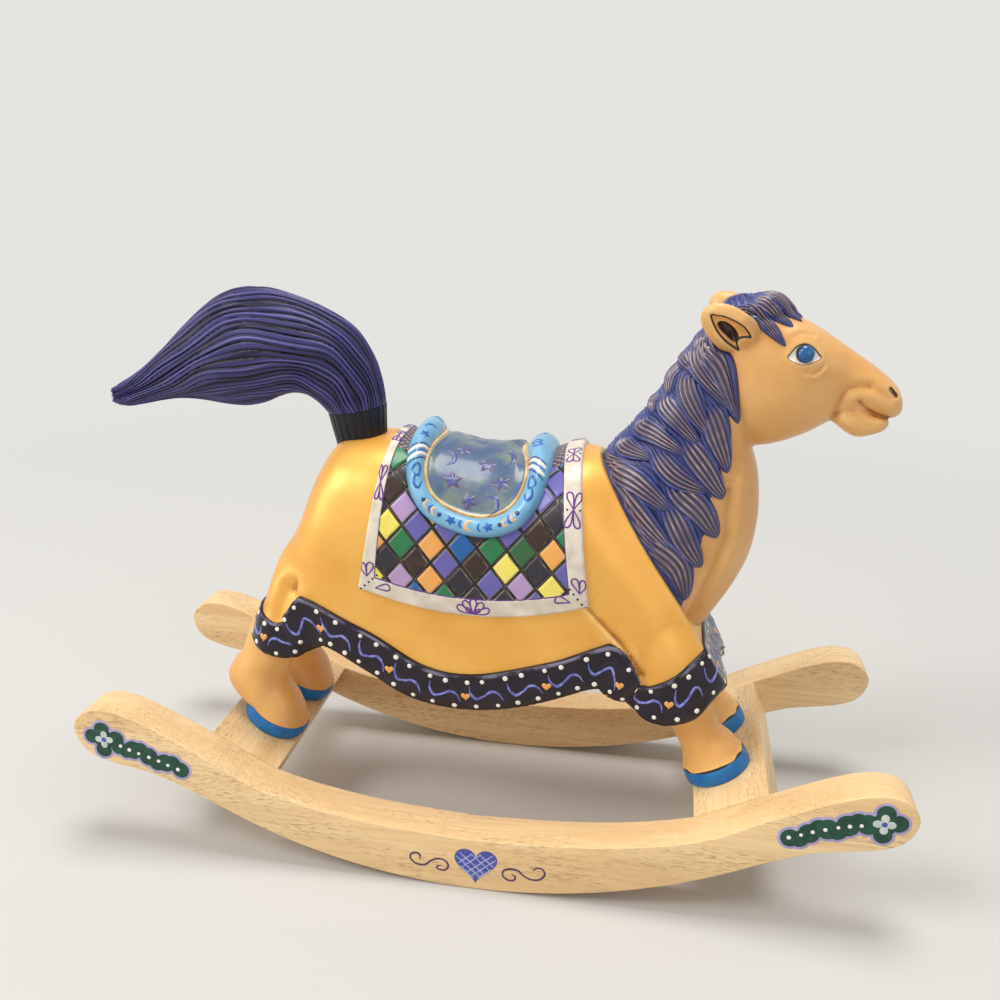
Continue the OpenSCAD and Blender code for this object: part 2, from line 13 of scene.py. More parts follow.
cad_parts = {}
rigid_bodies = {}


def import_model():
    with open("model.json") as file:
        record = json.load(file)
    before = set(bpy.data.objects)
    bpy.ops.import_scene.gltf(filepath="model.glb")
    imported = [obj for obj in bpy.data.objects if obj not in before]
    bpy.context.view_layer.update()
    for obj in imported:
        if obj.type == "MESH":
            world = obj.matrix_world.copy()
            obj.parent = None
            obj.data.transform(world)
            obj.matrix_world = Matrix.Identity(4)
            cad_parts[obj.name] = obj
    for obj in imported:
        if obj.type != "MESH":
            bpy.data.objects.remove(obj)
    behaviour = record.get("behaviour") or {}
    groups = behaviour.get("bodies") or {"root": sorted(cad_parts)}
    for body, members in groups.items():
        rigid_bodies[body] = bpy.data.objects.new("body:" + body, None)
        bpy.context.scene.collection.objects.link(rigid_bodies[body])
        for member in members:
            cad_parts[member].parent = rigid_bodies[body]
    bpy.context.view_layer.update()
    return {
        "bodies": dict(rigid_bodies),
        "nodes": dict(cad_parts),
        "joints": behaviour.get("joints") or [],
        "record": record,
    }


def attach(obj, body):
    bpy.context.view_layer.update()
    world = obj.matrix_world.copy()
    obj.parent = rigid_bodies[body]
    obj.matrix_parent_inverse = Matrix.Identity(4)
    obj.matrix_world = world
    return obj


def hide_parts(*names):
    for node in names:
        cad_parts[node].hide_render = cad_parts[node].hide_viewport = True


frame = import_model()
MM = 0.001

# ---------------------------------------------------------------- camera, floor and light
# A still-life set-up: the lens stands higher than the ears and looks down at the near side, over
# a plain pale floor, with broad soft lamps overhead and on the left and a weak one on the right.
camera = bpy.data.objects.new("camera", bpy.data.cameras.new("camera"))
bpy.context.scene.collection.objects.link(camera)
camera.data.lens = 38.53
camera.data.sensor_width = 36.0
look = Vector((-0.14300513, 0.94296728, -0.30060313))
right = Vector((0.98687056, 0.15889548, 0.02896072))
up = right.cross(look)
camera.matrix_world = Matrix((
    (right.x, up.x, -look.x, 0.06598),
    (right.y, up.y, -look.y, -0.45402),
    (right.z, up.z, -look.z, 0.29812),
    (0, 0, 0, 1)))
bpy.context.scene.camera = camera

bpy.context.scene.view_settings.view_transform = "Standard"


def clear_selection():
    if bpy.context.object and bpy.context.object.mode != "OBJECT":
        bpy.ops.object.mode_set(mode="OBJECT")
    bpy.ops.object.select_all(action="DESELECT")


def colour(red, green, blue):
    """A paint as it looks, 0 to 255, as the light that a shader works in."""
    def channel(c):
        c = c / 255
        return c / 12.92 if c <= 0.04045 else ((c + 0.055) / 1.055) ** 2.4
    return (channel(red), channel(green), channel(blue), 1.0)


class Finish:
    """One finish: a Principled shader and the nodes that feed it."""

    def __init__(self, name, roughness, coat=0.0, coat_roughness=0.1, metallic=0.0, shine=0.35):
        self.material = bpy.data.materials.new(name)
        self.material.use_nodes = True
        self.tree = self.material.node_tree
        self.shader = self.tree.nodes["Principled BSDF"]
        self.set("Roughness", roughness)
        self.set("Coat Weight", coat)
        self.set("Coat Roughness", coat_roughness)
        self.set("Metallic", metallic)
        self.set("Specular IOR Level", shine)

    def put(self, socket, value):
        if isinstance(value, bpy.types.NodeSocket):
            self.tree.links.new(value, socket)
        else:
            socket.default_value = value

    def set(self, name, value):
        self.put(self.shader.inputs[name], value)

    def node(self, kind, values, settings=(), out=0):
        node = self.tree.nodes.new(kind)
        for key, value in settings:
            setattr(node, key, value)
        for key, value in values.items():
            self.put(node.inputs[key], value)
        return node.outputs[out]

    def math(self, operation, a, b=0.0):
        return self.node("ShaderNodeMath", {0: a, 1: b}, [("operation", operation)])

    def times(self, a, b):
        return self.math("MULTIPLY", a, b)

    def mix(self, share, a, b):
        settings = [("data_type", "RGBA"), ("clamp_factor", True)]
        return self.node("ShaderNodeMix", {0: share, 6: a, 7: b}, settings, out=2)

    def between(self, value, low, high):
        """0 below low, 1 above high, and smooth between them."""
        return self.node("ShaderNodeMapRange", {0: value, 1: low, 2: high, 3: 0.0, 4: 1.0},
                         [("interpolation_type", "SMOOTHSTEP")])

    def over(self, tone, paint, value, low, high, share=1.0):
        """The tone with a paint over it where value goes from low to high, and only share thick."""
        where = self.between(value, low, high)
        return self.mix(where if share == 1.0 else self.times(where, share), tone, colour(*paint))

    def spot(self, stretch=(1.0, 1.0, 1.0)):
        """Where on the object, in metres, stretched to make a pattern long or fine."""
        where = self.node("ShaderNodeTexCoord", {}, out=3)
        return self.node("ShaderNodeMapping", {0: where, 3: stretch})

    def cloud(self, where, scale, detail=3.0, roughness=0.5):
        return self.node("ShaderNodeTexNoise", {
            "Vector": where, "Scale": scale, "Detail": detail, "Roughness": roughness})

    def mottle(self, scale, one, other):
        """Two close tones of one paint, in soft patches."""
        self.set("Base Color",
                 self.mix(self.cloud(self.spot(), scale), colour(*one), colour(*other)))

    def kept(self, attribute, out=2):
        """A value that is stored on the piece's points."""
        return self.node("ShaderNodeAttribute", {}, [("attribute_name", attribute)], out=out)

    def bump(self, height, distance, strength=1.0):
        self.set("Normal", self.node("ShaderNodeBump", {
            "Height": height, "Distance": distance, "Strength": strength}))


clear_selection()
bpy.ops.mesh.primitive_circle_add(vertices=64, radius=12, fill_type="NGON",
                                  location=(0, 0, -0.0002))
floor = bpy.context.object
floor.name = "floor"
backdrop_tone = colour(229, 228, 225)
card = Finish("pale floor card", 0.8)
card.set("Base Color", colour(198, 197, 194))
card.set("Specular IOR Level", 0.1)
away = card.node("ShaderNodeVectorMath", {0: card.spot()}, [("operation", "LENGTH")], out=1)
path_node = card.tree.nodes.new("ShaderNodeLightPath")
seen_ray = card.math("MAXIMUM", path_node.outputs["Is Camera Ray"],
                     path_node.outputs["Is Glossy Ray"])
glow = card.node("ShaderNodeEmission", {0: backdrop_tone, 1: 1.0})
faded = card.tree.nodes.new("ShaderNodeMixShader")
card.put(faded.inputs[0], card.times(card.between(away, 0.32, 1.1), seen_ray))
card.put(faded.inputs[1], card.shader.outputs[0])
card.put(faded.inputs[2], glow)
card.put(card.tree.nodes["Material Output"].inputs["Surface"], faded.outputs[0])
floor.data.materials.append(card.material)

world = bpy.data.worlds.new("studio")
bpy.context.scene.world = world
world.use_nodes = True
air = world.node_tree
sky = air.nodes["Background"]
sky.inputs["Color"].default_value = (1.0, 0.99, 0.975, 1.0)
sky.inputs["Strength"].default_value = 0.5
backdrop = air.nodes.new("ShaderNodeBackground")
backdrop.inputs["Color"].default_value = backdrop_tone
backdrop.inputs["Strength"].default_value = 1.0
ray = air.nodes.new("ShaderNodeLightPath")
seen = ray.outputs["Is Camera Ray"]
for kind in ("Is Glossy Ray", "Is Transmission Ray"):
    either = air.nodes.new("ShaderNodeMath")
    either.operation = "MAXIMUM"
    air.links.new(seen, either.inputs[0])
    air.links.new(ray.outputs[kind], either.inputs[1])
    seen = either.outputs[0]
blend_air = air.nodes.new("ShaderNodeMixShader")
air.links.new(seen, blend_air.inputs[0])
air.links.new(sky.outputs[0], blend_air.inputs[1])
air.links.new(backdrop.outputs[0], blend_air.inputs[2])
air.links.new(blend_air.outputs[0], air.nodes["World Output"].inputs["Surface"])


def lamp(name, place, aim, size, power, tint):
    data = bpy.data.lights.new(name, "AREA")
    data.shape = "DISK"
    data.size = size
    data.energy = power
    data.color = tint
    light = bpy.data.objects.new(name, data)
    light.location = place
    light.rotation_euler = (Vector(aim) - Vector(place)).to_track_quat("-Z", "Y").to_euler()
    bpy.context.scene.collection.objects.link(light)


lamp("window", (-1.5, -1.35, 2.1), (0.0, 0.0, 0.12), 1.1, 31.0, (1.0, 0.985, 0.96))
lamp("tall window", (-1.9, -0.9, 0.7), (0.0, 0.0, 0.14), 1.4, 13.0, (1.0, 0.985, 0.96))
lamp("ceiling", (0.15, 0.15, 2.6), (0.0, 0.0, 0.1), 1.3, 42.0, (1.0, 0.98, 0.95))
lamp("fill", (1.8, -1.7, 1.1), (0.05, 0.0, 0.12), 1.5, 7.0, (0.97, 0.98, 1.0))

# ---------------------------------------------------------------- rockers
# Two 19 mm rubberwood boards, band-sawn to an arc below with a raised paddle at each end,
# their edges eased with a round-over bit and finished in a thin satin lacquer.


same_point, flat_angle = 0.00002, math.radians(0.6)


def select_only(*pieces):
    """Selects the pieces alone, with the first one active."""
    clear_selection()
    for piece in pieces:
        piece.select_set(True)
    bpy.context.view_layer.objects.active = pieces[0]


def carved_copy(node, name):
    """A piece cut from the CAD solid: its facets merged, so that its edges can be eased."""
    source = frame["nodes"][node]
    piece = bpy.data.objects.new(name, source.data.copy())
    bpy.context.scene.collection.objects.link(piece)
    piece.data.materials.clear()
    select_only(piece)
    bpy.ops.object.mode_set(mode="EDIT")
    bpy.ops.mesh.select_all(action="SELECT")
    bpy.ops.mesh.remove_doubles(threshold=same_point)
    bpy.ops.mesh.dissolve_limited(angle_limit=flat_angle)
    bpy.ops.object.mode_set(mode="OBJECT")
    return piece


def finish_with(piece, kind, **settings):
    """Puts on one modifier and applies it."""
    select_only(piece)
    modifier = piece.modifiers.new(kind, kind)
    for key, value in settings.items():
        setattr(modifier, key, value)
    bpy.ops.object.modifier_apply(modifier=modifier.name)


def smooth(piece, angle=None):
    select_only(piece)
    if angle is None:
        bpy.ops.object.shade_smooth()
    else:
        bpy.ops.object.shade_smooth_by_angle(angle=math.radians(angle))


def rubberwood(name, along):
    """Pale straight-grained wood with short dark pores, its grain along one axis."""
    wood = Finish(name, 0.42, coat=0.18, coat_roughness=0.28)

    def stretched(length, across):
        return wood.spot(tuple(length if axis == along else across for axis in range(3)))

    broad = wood.cloud(stretched(5.0, 55.0), 1.0, 3.0, 0.55)
    fibre = wood.cloud(stretched(26.0, 620.0), 1.0, 4.0, 0.6)
    pores = wood.cloud(stretched(260.0, 2900.0), 1.0, 1.0, 0.4)
    more_pores = wood.cloud(stretched(14.0, 70.0), 1.0, 1.0)
    tone = wood.mix(wood.between(broad, 0.34, 0.68), colour(239, 208, 158), colour(224, 187, 134))
    tone = wood.over(tone, (205, 165, 110), fibre, 0.4, 0.72, 0.42)
    where = wood.times(wood.between(pores, 0.59, 0.65),
                      wood.between(more_pores, 0.36, 0.6))
    tone = wood.mix(wood.times(where, 0.52), tone, colour(142, 100, 60))
    wood.set("Base Color", tone)
    height = wood.math("SUBTRACT", wood.times(fibre, 0.35), where)
    wood.bump(height, 0.00012, 0.6)
    return wood.material


board_wood = rubberwood("rubberwood boards", 0)
board_ease = 1.7 * MM
for side in ("left", "right"):
    board = carved_copy("rocker_" + side, "rocker_board_" + side)
    finish_with(board, "BEVEL", width=board_ease, segments=3, limit_method="ANGLE",
                angle_limit=math.radians(50), harden_normals=False)
    smooth(board, 28)
    board.data.materials.append(board_wood)
    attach(board, "root")
    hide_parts("rocker_" + side)

# ---------------------------------------------------------------- rails
# Two slats of the same wood, sloping with the arc, dowelled and glued between the boards.
# Their grain runs across the base, and their long edges are only just broken.
slat_wood = rubberwood("rubberwood slats", 1)
slat_ease = 0.7 * MM
for end in ("front", "rear"):
    slat = carved_copy("rail_" + end, "rail_slat_" + end)
    finish_with(slat, "BEVEL", width=slat_ease, segments=2, limit_method="ANGLE",
                angle_limit=math.radians(50))
    smooth(slat, 28)
    slat.data.materials.append(slat_wood)
    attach(slat, "root")
    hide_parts("rail_" + end)

# ---------------------------------------------------------------- hidden hardware
# Beech dowels in the rails and the tail, plated screws and washers up into brass inserts in
# the hooves, and the soft plug in the belly's pour hole. Each CAD solid keeps its own shape.
beech = rubberwood("beech dowel", 1)
peg_beech = rubberwood("beech peg", 2)
plated = Finish("zinc plated steel", 0.32, metallic=1.0)
plated.mottle(900.0, (168, 170, 172), (205, 206, 205))
brassy = Finish("turned brass", 0.28, metallic=1.0)
brassy.set("Base Color", brassy.mix(brassy.cloud(brassy.spot((1, 1, 6)), 500.0),
                                    colour(196, 158, 84), colour(228, 196, 120)))
rubber = Finish("dark rubber", 0.62)
rubber.mottle(700.0, (34, 28, 36), (48, 42, 52))
for node, finish in (("rail_dowels", beech), ("tail_peg", peg_beech),
                     ("hoof_screws", plated.material), ("hoof_washers", plated.material),
                     ("hoof_inserts", brassy.material), ("belly_plug", rubber.material)):
    for slot in frame["nodes"][node].material_slots:
        slot.material = finish

# ---------------------------------------------------------------- legs
# Four short cast legs in tan paint: a hoof flat on the slat with a sky blue band, a round
# fetlock, and a stem that goes up into the coat's cuff. They are screwed up from below.
rail_turn = math.radians(26.5)
rail_x, rail_z = 107.18, 43.04
track = 19.0
band_up = 6.8


def threes(items, field):
    """What a mesh keeps for each point, in rows of three."""
    flat = np.empty(len(items) * 3, np.float32)
    items.foreach_get(field, flat)
    return flat.reshape(-1, 3)


def points(piece):
    """The piece's points in millimetres."""
    return threes(piece.data.vertices, "co").astype(float) / MM


def set_points(piece, where):
    piece.data.vertices.foreach_set("co", (where * MM).astype(np.float32).ravel())
    piece.data.update()


def facing(piece):
    """Which way the surface faces at each point."""
    return threes(piece.data.vertex_normals, "vector").astype(float)


def store(piece, name, values):
    """Keeps a value for each point, for a finish to read."""
    attribute = piece.data.attributes.new(name, "FLOAT", "POINT")
    attribute.data.foreach_set("value", np.asarray(values, np.float32))


seam_gap = 0.000004


def wrapped(name, around, along, shape, close=True, keep=None):
    """A grid that is wrapped into a skin. shape(turn, run) gives its points, with both from 0 to 1,
    and keep gives a value to store by its name."""
    clear_selection()
    bpy.ops.mesh.primitive_grid_add(x_subdivisions=around, y_subdivisions=along, size=1)
    piece = bpy.context.object
    piece.name = name
    grid = threes(piece.data.vertices, "co") + 0.5
    turn, run = grid[:, 0].astype(float), grid[:, 1].astype(float)
    set_points(piece, shape(turn, run))
    for key, value in (keep or {}).items():
        store(piece, key, value(turn, run))
    bpy.ops.object.mode_set(mode="EDIT")
    bpy.ops.mesh.select_all(action="SELECT")
    if close:
        bpy.ops.mesh.remove_doubles(threshold=seam_gap)
    bpy.ops.mesh.normals_make_consistent(inside=False)
    bpy.ops.object.mode_set(mode="OBJECT")
    return piece


def along_curve(rows, run):
    """Rows of numbers, joined by a smooth curve and read at run, from 0 to 1."""
    rows = np.asarray(rows, float)
    at = np.clip(run, 0, 1) * (len(rows) - 1)
    i = np.minimum(at.astype(int), len(rows) - 2)
    t = (at - i)[:, None]
    a, b = rows[np.maximum(i - 1, 0)], rows[i]
    c, d = rows[i + 1], rows[np.minimum(i + 2, len(rows) - 1)]
    return 0.5 * (2 * b + (c - a) * t + (2 * a - 5 * b + 4 * c - d) * t ** 2
                  + (3 * b - a - 3 * c + d) * t ** 3)


def clay(name, stations, around, along, shift=0.0):
    """A closed form through stations of [upper x, upper z, lower x, lower z, half width, roundness
    above, roundness below], each a line across it in the middle plane, shift to one side. Where a
    roundness isn't given it is 2, a plain oval."""
    stations = [[*station, 2, 2][:7] for station in stations]

    def shape(turn, run):
        row = np.round(run * along)
        s = along_curve(stations, (row - 1) / (along - 2))
        closed = np.where((row < 1) | (row > along - 1), 0.0, 1.0)
        c, w = np.cos(turn * 2 * math.pi), np.sin(turn * 2 * math.pi)
        n = np.where(c > 0, s[:, 5], s[:, 6])
        u = np.sign(c) * np.abs(c) ** (2 / n) * closed
        v = np.sign(w) * np.abs(w) ** (2 / n) * closed
        return np.stack([(s[:, 0] + s[:, 2]) / 2 + (s[:, 0] - s[:, 2]) / 2 * u, s[:, 4] * v + shift,
                         (s[:, 1] + s[:, 3]) / 2 + (s[:, 1] - s[:, 3]) / 2 * u], axis=1)
    return wrapped(name, around, along, shape)


def fused(name, pieces, grain, passes):
    """Lumps pressed into one skin, with the joins rubbed smooth. grain is the skin's mesh."""
    select_only(*pieces)
    if len(pieces) > 1:
        bpy.ops.object.join()
    piece = bpy.context.object
    piece.name = name
    finish_with(piece, "REMESH", mode="VOXEL", voxel_size=grain * MM)
    finish_with(piece, "SMOOTH", factor=0.5, iterations=passes)
    return piece


def from_line(where, line):
    """How far points are from a broken line, in as many axes as the line has."""
    line = np.asarray(line, float)
    nearest = np.full(len(where), 1e9)
    for a, b in zip(line[:-1], line[1:]):
        run = np.clip((where - a) @ (b - a) / max((b - a) @ (b - a), 1e-9), 0, 1)[:, None]
        nearest = np.minimum(nearest, np.linalg.norm(where - a - run * (b - a), axis=1))
    return nearest


def from_mark(where, mark):
    """How far points are from a line or a single spot. Where it is given by two numbers, it is
    drawn in the side view and marks both sides."""
    mark = np.asarray(mark, float)
    if mark.ndim == 1:
        mark = np.array([mark, mark + 1e-6])
    return from_line(where[:, [0, 2]] if mark.shape[1] == 2 else where, mark)


def press(piece, mark, reach, out, where=None):
    """Pushes the surface out along a mark, or in where out is negative, and fades over reach."""
    co = points(piece)
    near = from_mark(co, mark)
    amount = out * np.exp(-(near / reach) ** 2)
    if where is not None:
        amount = amount * where(co)
    set_points(piece, co + facing(piece) * amount[:, None])


def relax(piece, mark, reach, passes):
    """Rubs the surface smooth along a mark, as a thumb would."""
    near = from_mark(points(piece), mark)
    rubbed = piece.vertex_groups.new(name="rubbed")
    for level in range(1, 11):
        inner, outer = reach * (1 - level * 0.08), reach * (1 - (level - 1) * 0.08)
        chosen = np.nonzero((near < outer) & (near >= (inner if level < 10 else 0)))[0]
        rubbed.add([int(i) for i in chosen], level / 10, "REPLACE")
    finish_with(piece, "SMOOTH", factor=0.5, iterations=passes, vertex_group="rubbed")
    piece.vertex_groups.clear()


def hollows(piece):
    """Stores how hollow the surface is, for painted shade in the creases and a painted highlight on
    what stands out.
    """
    mesh = piece.data
    flat = np.empty(len(mesh.edges) * 2, np.int32)
    mesh.edges.foreach_get("vertices", flat)
    a, b = flat[::2], flat[1::2]
    co = points(piece)
    count = np.bincount(flat, minlength=len(co)).astype(float)

    def around(values):
        total = np.zeros_like(values)
        np.add.at(total, a, values[b])
        np.add.at(total, b, values[a])
        return total / (count[:, None] if values.ndim == 2 else count)

    rubbed = co
    for _ in range(6):
        rubbed = around(rubbed)
    depth = np.einsum("ij,ij->i", rubbed - co, facing(piece))
    for _ in range(2):
        depth = around(depth)
    store(piece, "hollow", depth)


def tan_paint(name, warm=(222, 163, 88), lit=(230, 178, 107), deep=(180, 115, 56)):
    """Satin tan paint, brushed on, with painted shade in the creases and a painted highlight on
    what stands out.
    """
    paint = Finish(name, 0.4, coat=0.25, coat_roughness=0.25)
    patch = paint.cloud(paint.spot(), 42.0, 4.0, 0.55)
    brush = paint.cloud(paint.spot((260, 260, 1300)), 1.0, 3.0)
    tone = paint.mix(paint.between(patch, 0.3, 0.72), colour(*warm), colour(*lit))
    tone = paint.over(tone, (198, 138, 72), brush, 0.45, 0.8, 0.14)
    hollow = paint.kept("hollow")
    # Painted shade: the deep tone darkens the creases.
    tone = paint.over(tone, deep, hollow, 0.02, 0.35)
    # Painted highlight: a paler tone on what stands out.
    tone = paint.over(tone, (238, 194, 126), hollow, -0.02, -0.3, 0.35)
    paint.bump(paint.math("ADD", paint.times(brush, 0.4), patch), 0.00006, 0.5)
    return paint, tone


def on_rail(front, along, rise):
    """A point over a hoof: along the rail towards the horse's front, and up square to the rail."""
    s, inset = (1, 4.5) if front else (-1, 2.0)
    a = along - s * inset
    return [s * (rail_x - rise * math.sin(rail_turn)) + a * math.cos(rail_turn),
            rail_z + s * a * math.sin(rail_turn) + rise * math.cos(rail_turn)]


def hoof_ring(front, rise, ahead, behind, half):
    return on_rail(front, ahead, rise) + on_rail(front, -behind, rise) + [half]


rear_leg = [
    hoof_ring(False, 0, 14.8, 14.8, 14.8),
    hoof_ring(False, band_up, 14.5, 14.6, 14.6),
    [-92.0, 51.5, -121.6, 57.6, 14.4],
    [-94.3, 56.5, -124.9, 62.0, 14.2],
    [-97.2, 62.0, -125.4, 67.0, 13.5],
    [-97.6, 68.5, -122.8, 73.0, 12.6],
    [-95.2, 75.5, -119.0, 78.5, 12.2],
    [-92.7, 86.0, -116.0, 87.5, 11.8],
    [-91.0, 95.0, -113.0, 96.0, 11.0]]
front_leg = [
    hoof_ring(True, 0, 14.8, 14.8, 14.8),
    hoof_ring(True, band_up, 14.0, 14.2, 14.2),
    hoof_ring(True, band_up + 2.2, 12.6, 13.4, 13.3),
    hoof_ring(True, band_up + 6.5, 11.2, 12.0, 12.3),
    hoof_ring(True, band_up + 12.0, 8.4, 11.2, 11.6),
    [100.6, 66.8, 78.6, 64.2, 11.4],
    [96.5, 75.5, 73.8, 71.0, 11.4],
    [93.5, 84.0, 70.0, 80.0, 11.0]]

leg_paint, leg_tone = tan_paint("tan leg paint")
rise = leg_paint.kept("rise")
blue_band = leg_paint.mix(leg_paint.between(leg_paint.cloud(leg_paint.spot(), 160.0), 0.35, 0.7),
                          colour(0, 102, 172), colour(16, 120, 188))
leg_tone = leg_paint.mix(leg_paint.between(rise, band_up + 0.1, band_up - 0.1), leg_tone, blue_band)
line_top = leg_paint.math("ADD", band_up, leg_paint.kept("line"))
in_line = leg_paint.times(leg_paint.between(rise, band_up - 0.1, band_up + 0.05),
                         leg_paint.between(rise, line_top,
                                           leg_paint.math("SUBTRACT", line_top, 0.15)))
leg_tone = leg_paint.mix(in_line, leg_tone, colour(20, 20, 26))
leg_paint.set("Base Color", leg_tone)

for end, stations in (("front", front_leg), ("rear", rear_leg)):
    front = end == "front"
    for side, y in (("left", track), ("right", -track)):
        leg = fused("leg_%s_%s_cast" % (end, side), [clay("leg", stations, 72, 80, y)], 0.5, 4)
        if front:
            press(leg, [106.0, y, 59.5], 7.0, 0.9)
            press(leg, [98.5, y, 66.5], 4.0, -0.5)
            press(leg, [86.0, y * 1.5, 66.0], 5.0, 0.5)
        else:
            press(leg, [-96.5, y * 1.45, 52.5], 8.0, 1.2)
            press(leg, [-122.5, y * 1.2, 66.0], 7.0, 0.9)
            press(leg, [[-99.5, y * 1.6, 66.0], [-104.0, y * 1.7, 58.0]], 4.5, -0.7)
            press(leg, [[-98.5, y * 0.5, 66.0], [-100.0, y * 0.5, 58.0]], 4.5, -0.5)
        co = points(leg)
        foot = on_rail(front, 0, 0)
        s = 1 if front else -1
        up_rail = np.array([-s * math.sin(rail_turn), 0, math.cos(rail_turn)])
        height = (co - [foot[0], y, foot[1]]) @ up_rail
        co = co - up_rail * np.minimum(height, 0)[:, None]
        set_points(leg, co)
        lip = 0.35 * np.exp(-((height - 0.6 * band_up) / (0.5 * band_up)) ** 4)
        radial = facing(leg)
        radial -= np.outer(radial @ up_rail, up_rail)
        set_points(leg, points(leg) + radial * (lip * (height > 0.3))[:, None])
        store(leg, "rise", height)
        thick = 1.0 if front else 0.25
        store(leg, "line", np.full(len(co), thick) * (0.75 + 0.35 * np.sin(co[:, 1] * 0.9)))
        hollows(leg)
        smooth(leg)
        leg.data.materials.append(leg_paint.material)
        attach(leg, "root")
        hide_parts("leg_%s_%s" % (end, side))

# ---------------------------------------------------------------- coat and body
# The body is one hollow casting, modelled as a gold coat that hangs over both sides. It is
# finished in pearl gold, and its skirt lies in a pleat over the front and rear sleeves.
croup = 181.04
mid_x, half_span, half_w = -10.0, 94.18, 39.5


def trunk(share, drop, hem, wide, top):
    x = mid_x + share * half_span
    return [x, croup - drop, x, rail_z + hem, wide, top, 9]


trunk_stations = [
    trunk(-1.000, 66, 58, 15, 2.2), trunk(-0.935, 53, 53, half_w - 12, 2.3),
    trunk(-0.84, 33, 48, half_w - 6.5, 2.4), trunk(-0.765, 14.5, 44, half_w - 4, 2.5),
    trunk(-0.67, 2.5, 39, half_w - 1.5, 2.6), trunk(-0.53, 0, 33, half_w, 2.6),
    trunk(-0.36, 0.5, 26, half_w + 0.5, 2.6), trunk(-0.17, 6, 21, half_w + 1, 2.6),
    trunk(0.05, 10.5, 20, half_w + 1, 2.6), trunk(0.28, 6.5, 23, half_w + 0.5, 2.6),
    trunk(0.47, 0.5, 29, half_w, 2.6), trunk(0.64, 5, 33, half_w - 1.8, 2.5),
    trunk(0.81, 18, 34, half_w - 3.5, 2.4), trunk(0.96, 40, 35, half_w - 5.5, 2.3),
    trunk(1.085, 64, 38, half_w - 9.5, 2.2), trunk(1.17, 76, 42, half_w - 15, 2.1)]
rear_sleeve = [
    [-82.0, 136.0, -90.0, 140.0, 6.0], [-80.0, 124.0, -98.5, 128.0, 11.5],
    [-79.5, 114.0, -103.0, 116.0, 15.2, 2.1, 2.2], [-79.0, 106.0, -106.0, 106.0, 17.2, 2.2, 2.3],
    [-78.5, 98.0, -109.5, 98.0, 17.8, 2.3, 2.4], [-77.5, 82.0, -112.5, 83.5, 17.6, 2.4, 2.4]]
front_sleeve = [
    [84.0, 118.0, 56.0, 118.0, 15.0, 2.3, 2.3], [93.5, 106.0, 57.0, 106.0, 17.3, 2.4, 2.4],
    [99.0, 97.0, 57.5, 97.0, 18.4, 2.4, 2.4], [102.4, 89.0, 58.5, 85.0, 18.8, 2.5, 2.5],
    [103.2, 76.0, 58.0, 64.0, 18.6, 2.5, 2.5]]

lumps = [clay("trunk", trunk_stations, 120, 150)]
for y in (track, -track):
    lumps.append(clay("rear sleeve", rear_sleeve, 60, 40, y))
    lumps.append(clay("front sleeve", front_sleeve, 60, 40, y))
coat = fused("coat_and_body", lumps, 1.1, 10)

relax(coat, [[-88.0, 128.0], [-95.0, 118.0], [-100.0, 112.0]], 17.0, 60)

# The hem's height along each side, and round the front and the rear.
hem_line = np.array([
    [-113, 90.0], [-108.7, 88.0], [-106.1, 85.8], [-103.4, 84.6], [-98.5, 83.4], [-93.5, 83.0],
    [-88.0, 83.8], [-83.6, 85.2], [-79.0, 88.4], [-74.5, 92.6], [-61.8, 86.7], [-48.9, 79.4],
    [-42.0, 74.4], [-35.5, 71.3], [-23.4, 68.7], [-13.0, 68.0], [0.5, 69.2], [12.3, 71.7],
    [23.8, 75.4], [35.2, 79.8], [44.0, 83.2], [48.5, 83.4], [51.0, 80.4], [54.0, 77.6],
    [59.0, 76.0], [63.7, 73.6], [70.2, 70.8], [77.5, 69.9], [85.5, 71.2], [90.0, 74.0],
    [95.0, 78.6], [99.0, 82.6], [103.0, 84.4], [106.0, 84.6]])


def hem_at(x):
    return np.interp(x, hem_line[:, 0], hem_line[:, 1])


co = points(coat)
low = hem_at(co[:, 0])
# Between the legs the underside is higher, behind the front and the rear trim.
between_legs = (np.clip((12 - np.abs(co[:, 1])) / 6, 0, 1)
                * np.clip((np.abs(co[:, 0]) - 66) / 16, 0, 1))
low += between_legs * np.maximum(np.where(co[:, 0] > 0, 84.5, 88.5) - low, 0)
under = co[:, 2] < low
co[:, 2] = np.where(under, low + 0.02 * (co[:, 2] - low), co[:, 2])
set_points(coat, co)
# The collar is a flat where the neck stands, and the shoulders round over to meet it.
collar = np.array([66.68, 0, 139.54])
collar_lean = math.radians(57.5)
collar_up = np.array([math.sin(collar_lean), 0, math.cos(collar_lean)])
co = points(coat)
above = (co - collar) @ collar_up
co[:, 1] *= 1 - 0.16 * np.exp(-(np.minimum(above, 0) / 10.0) ** 2)
co -= collar_up * np.maximum(above, 0)[:, None]
set_points(coat, co)


def side_on(where):
    return np.clip((np.abs(where[:, 1]) - 18) / 10, 0, 1)


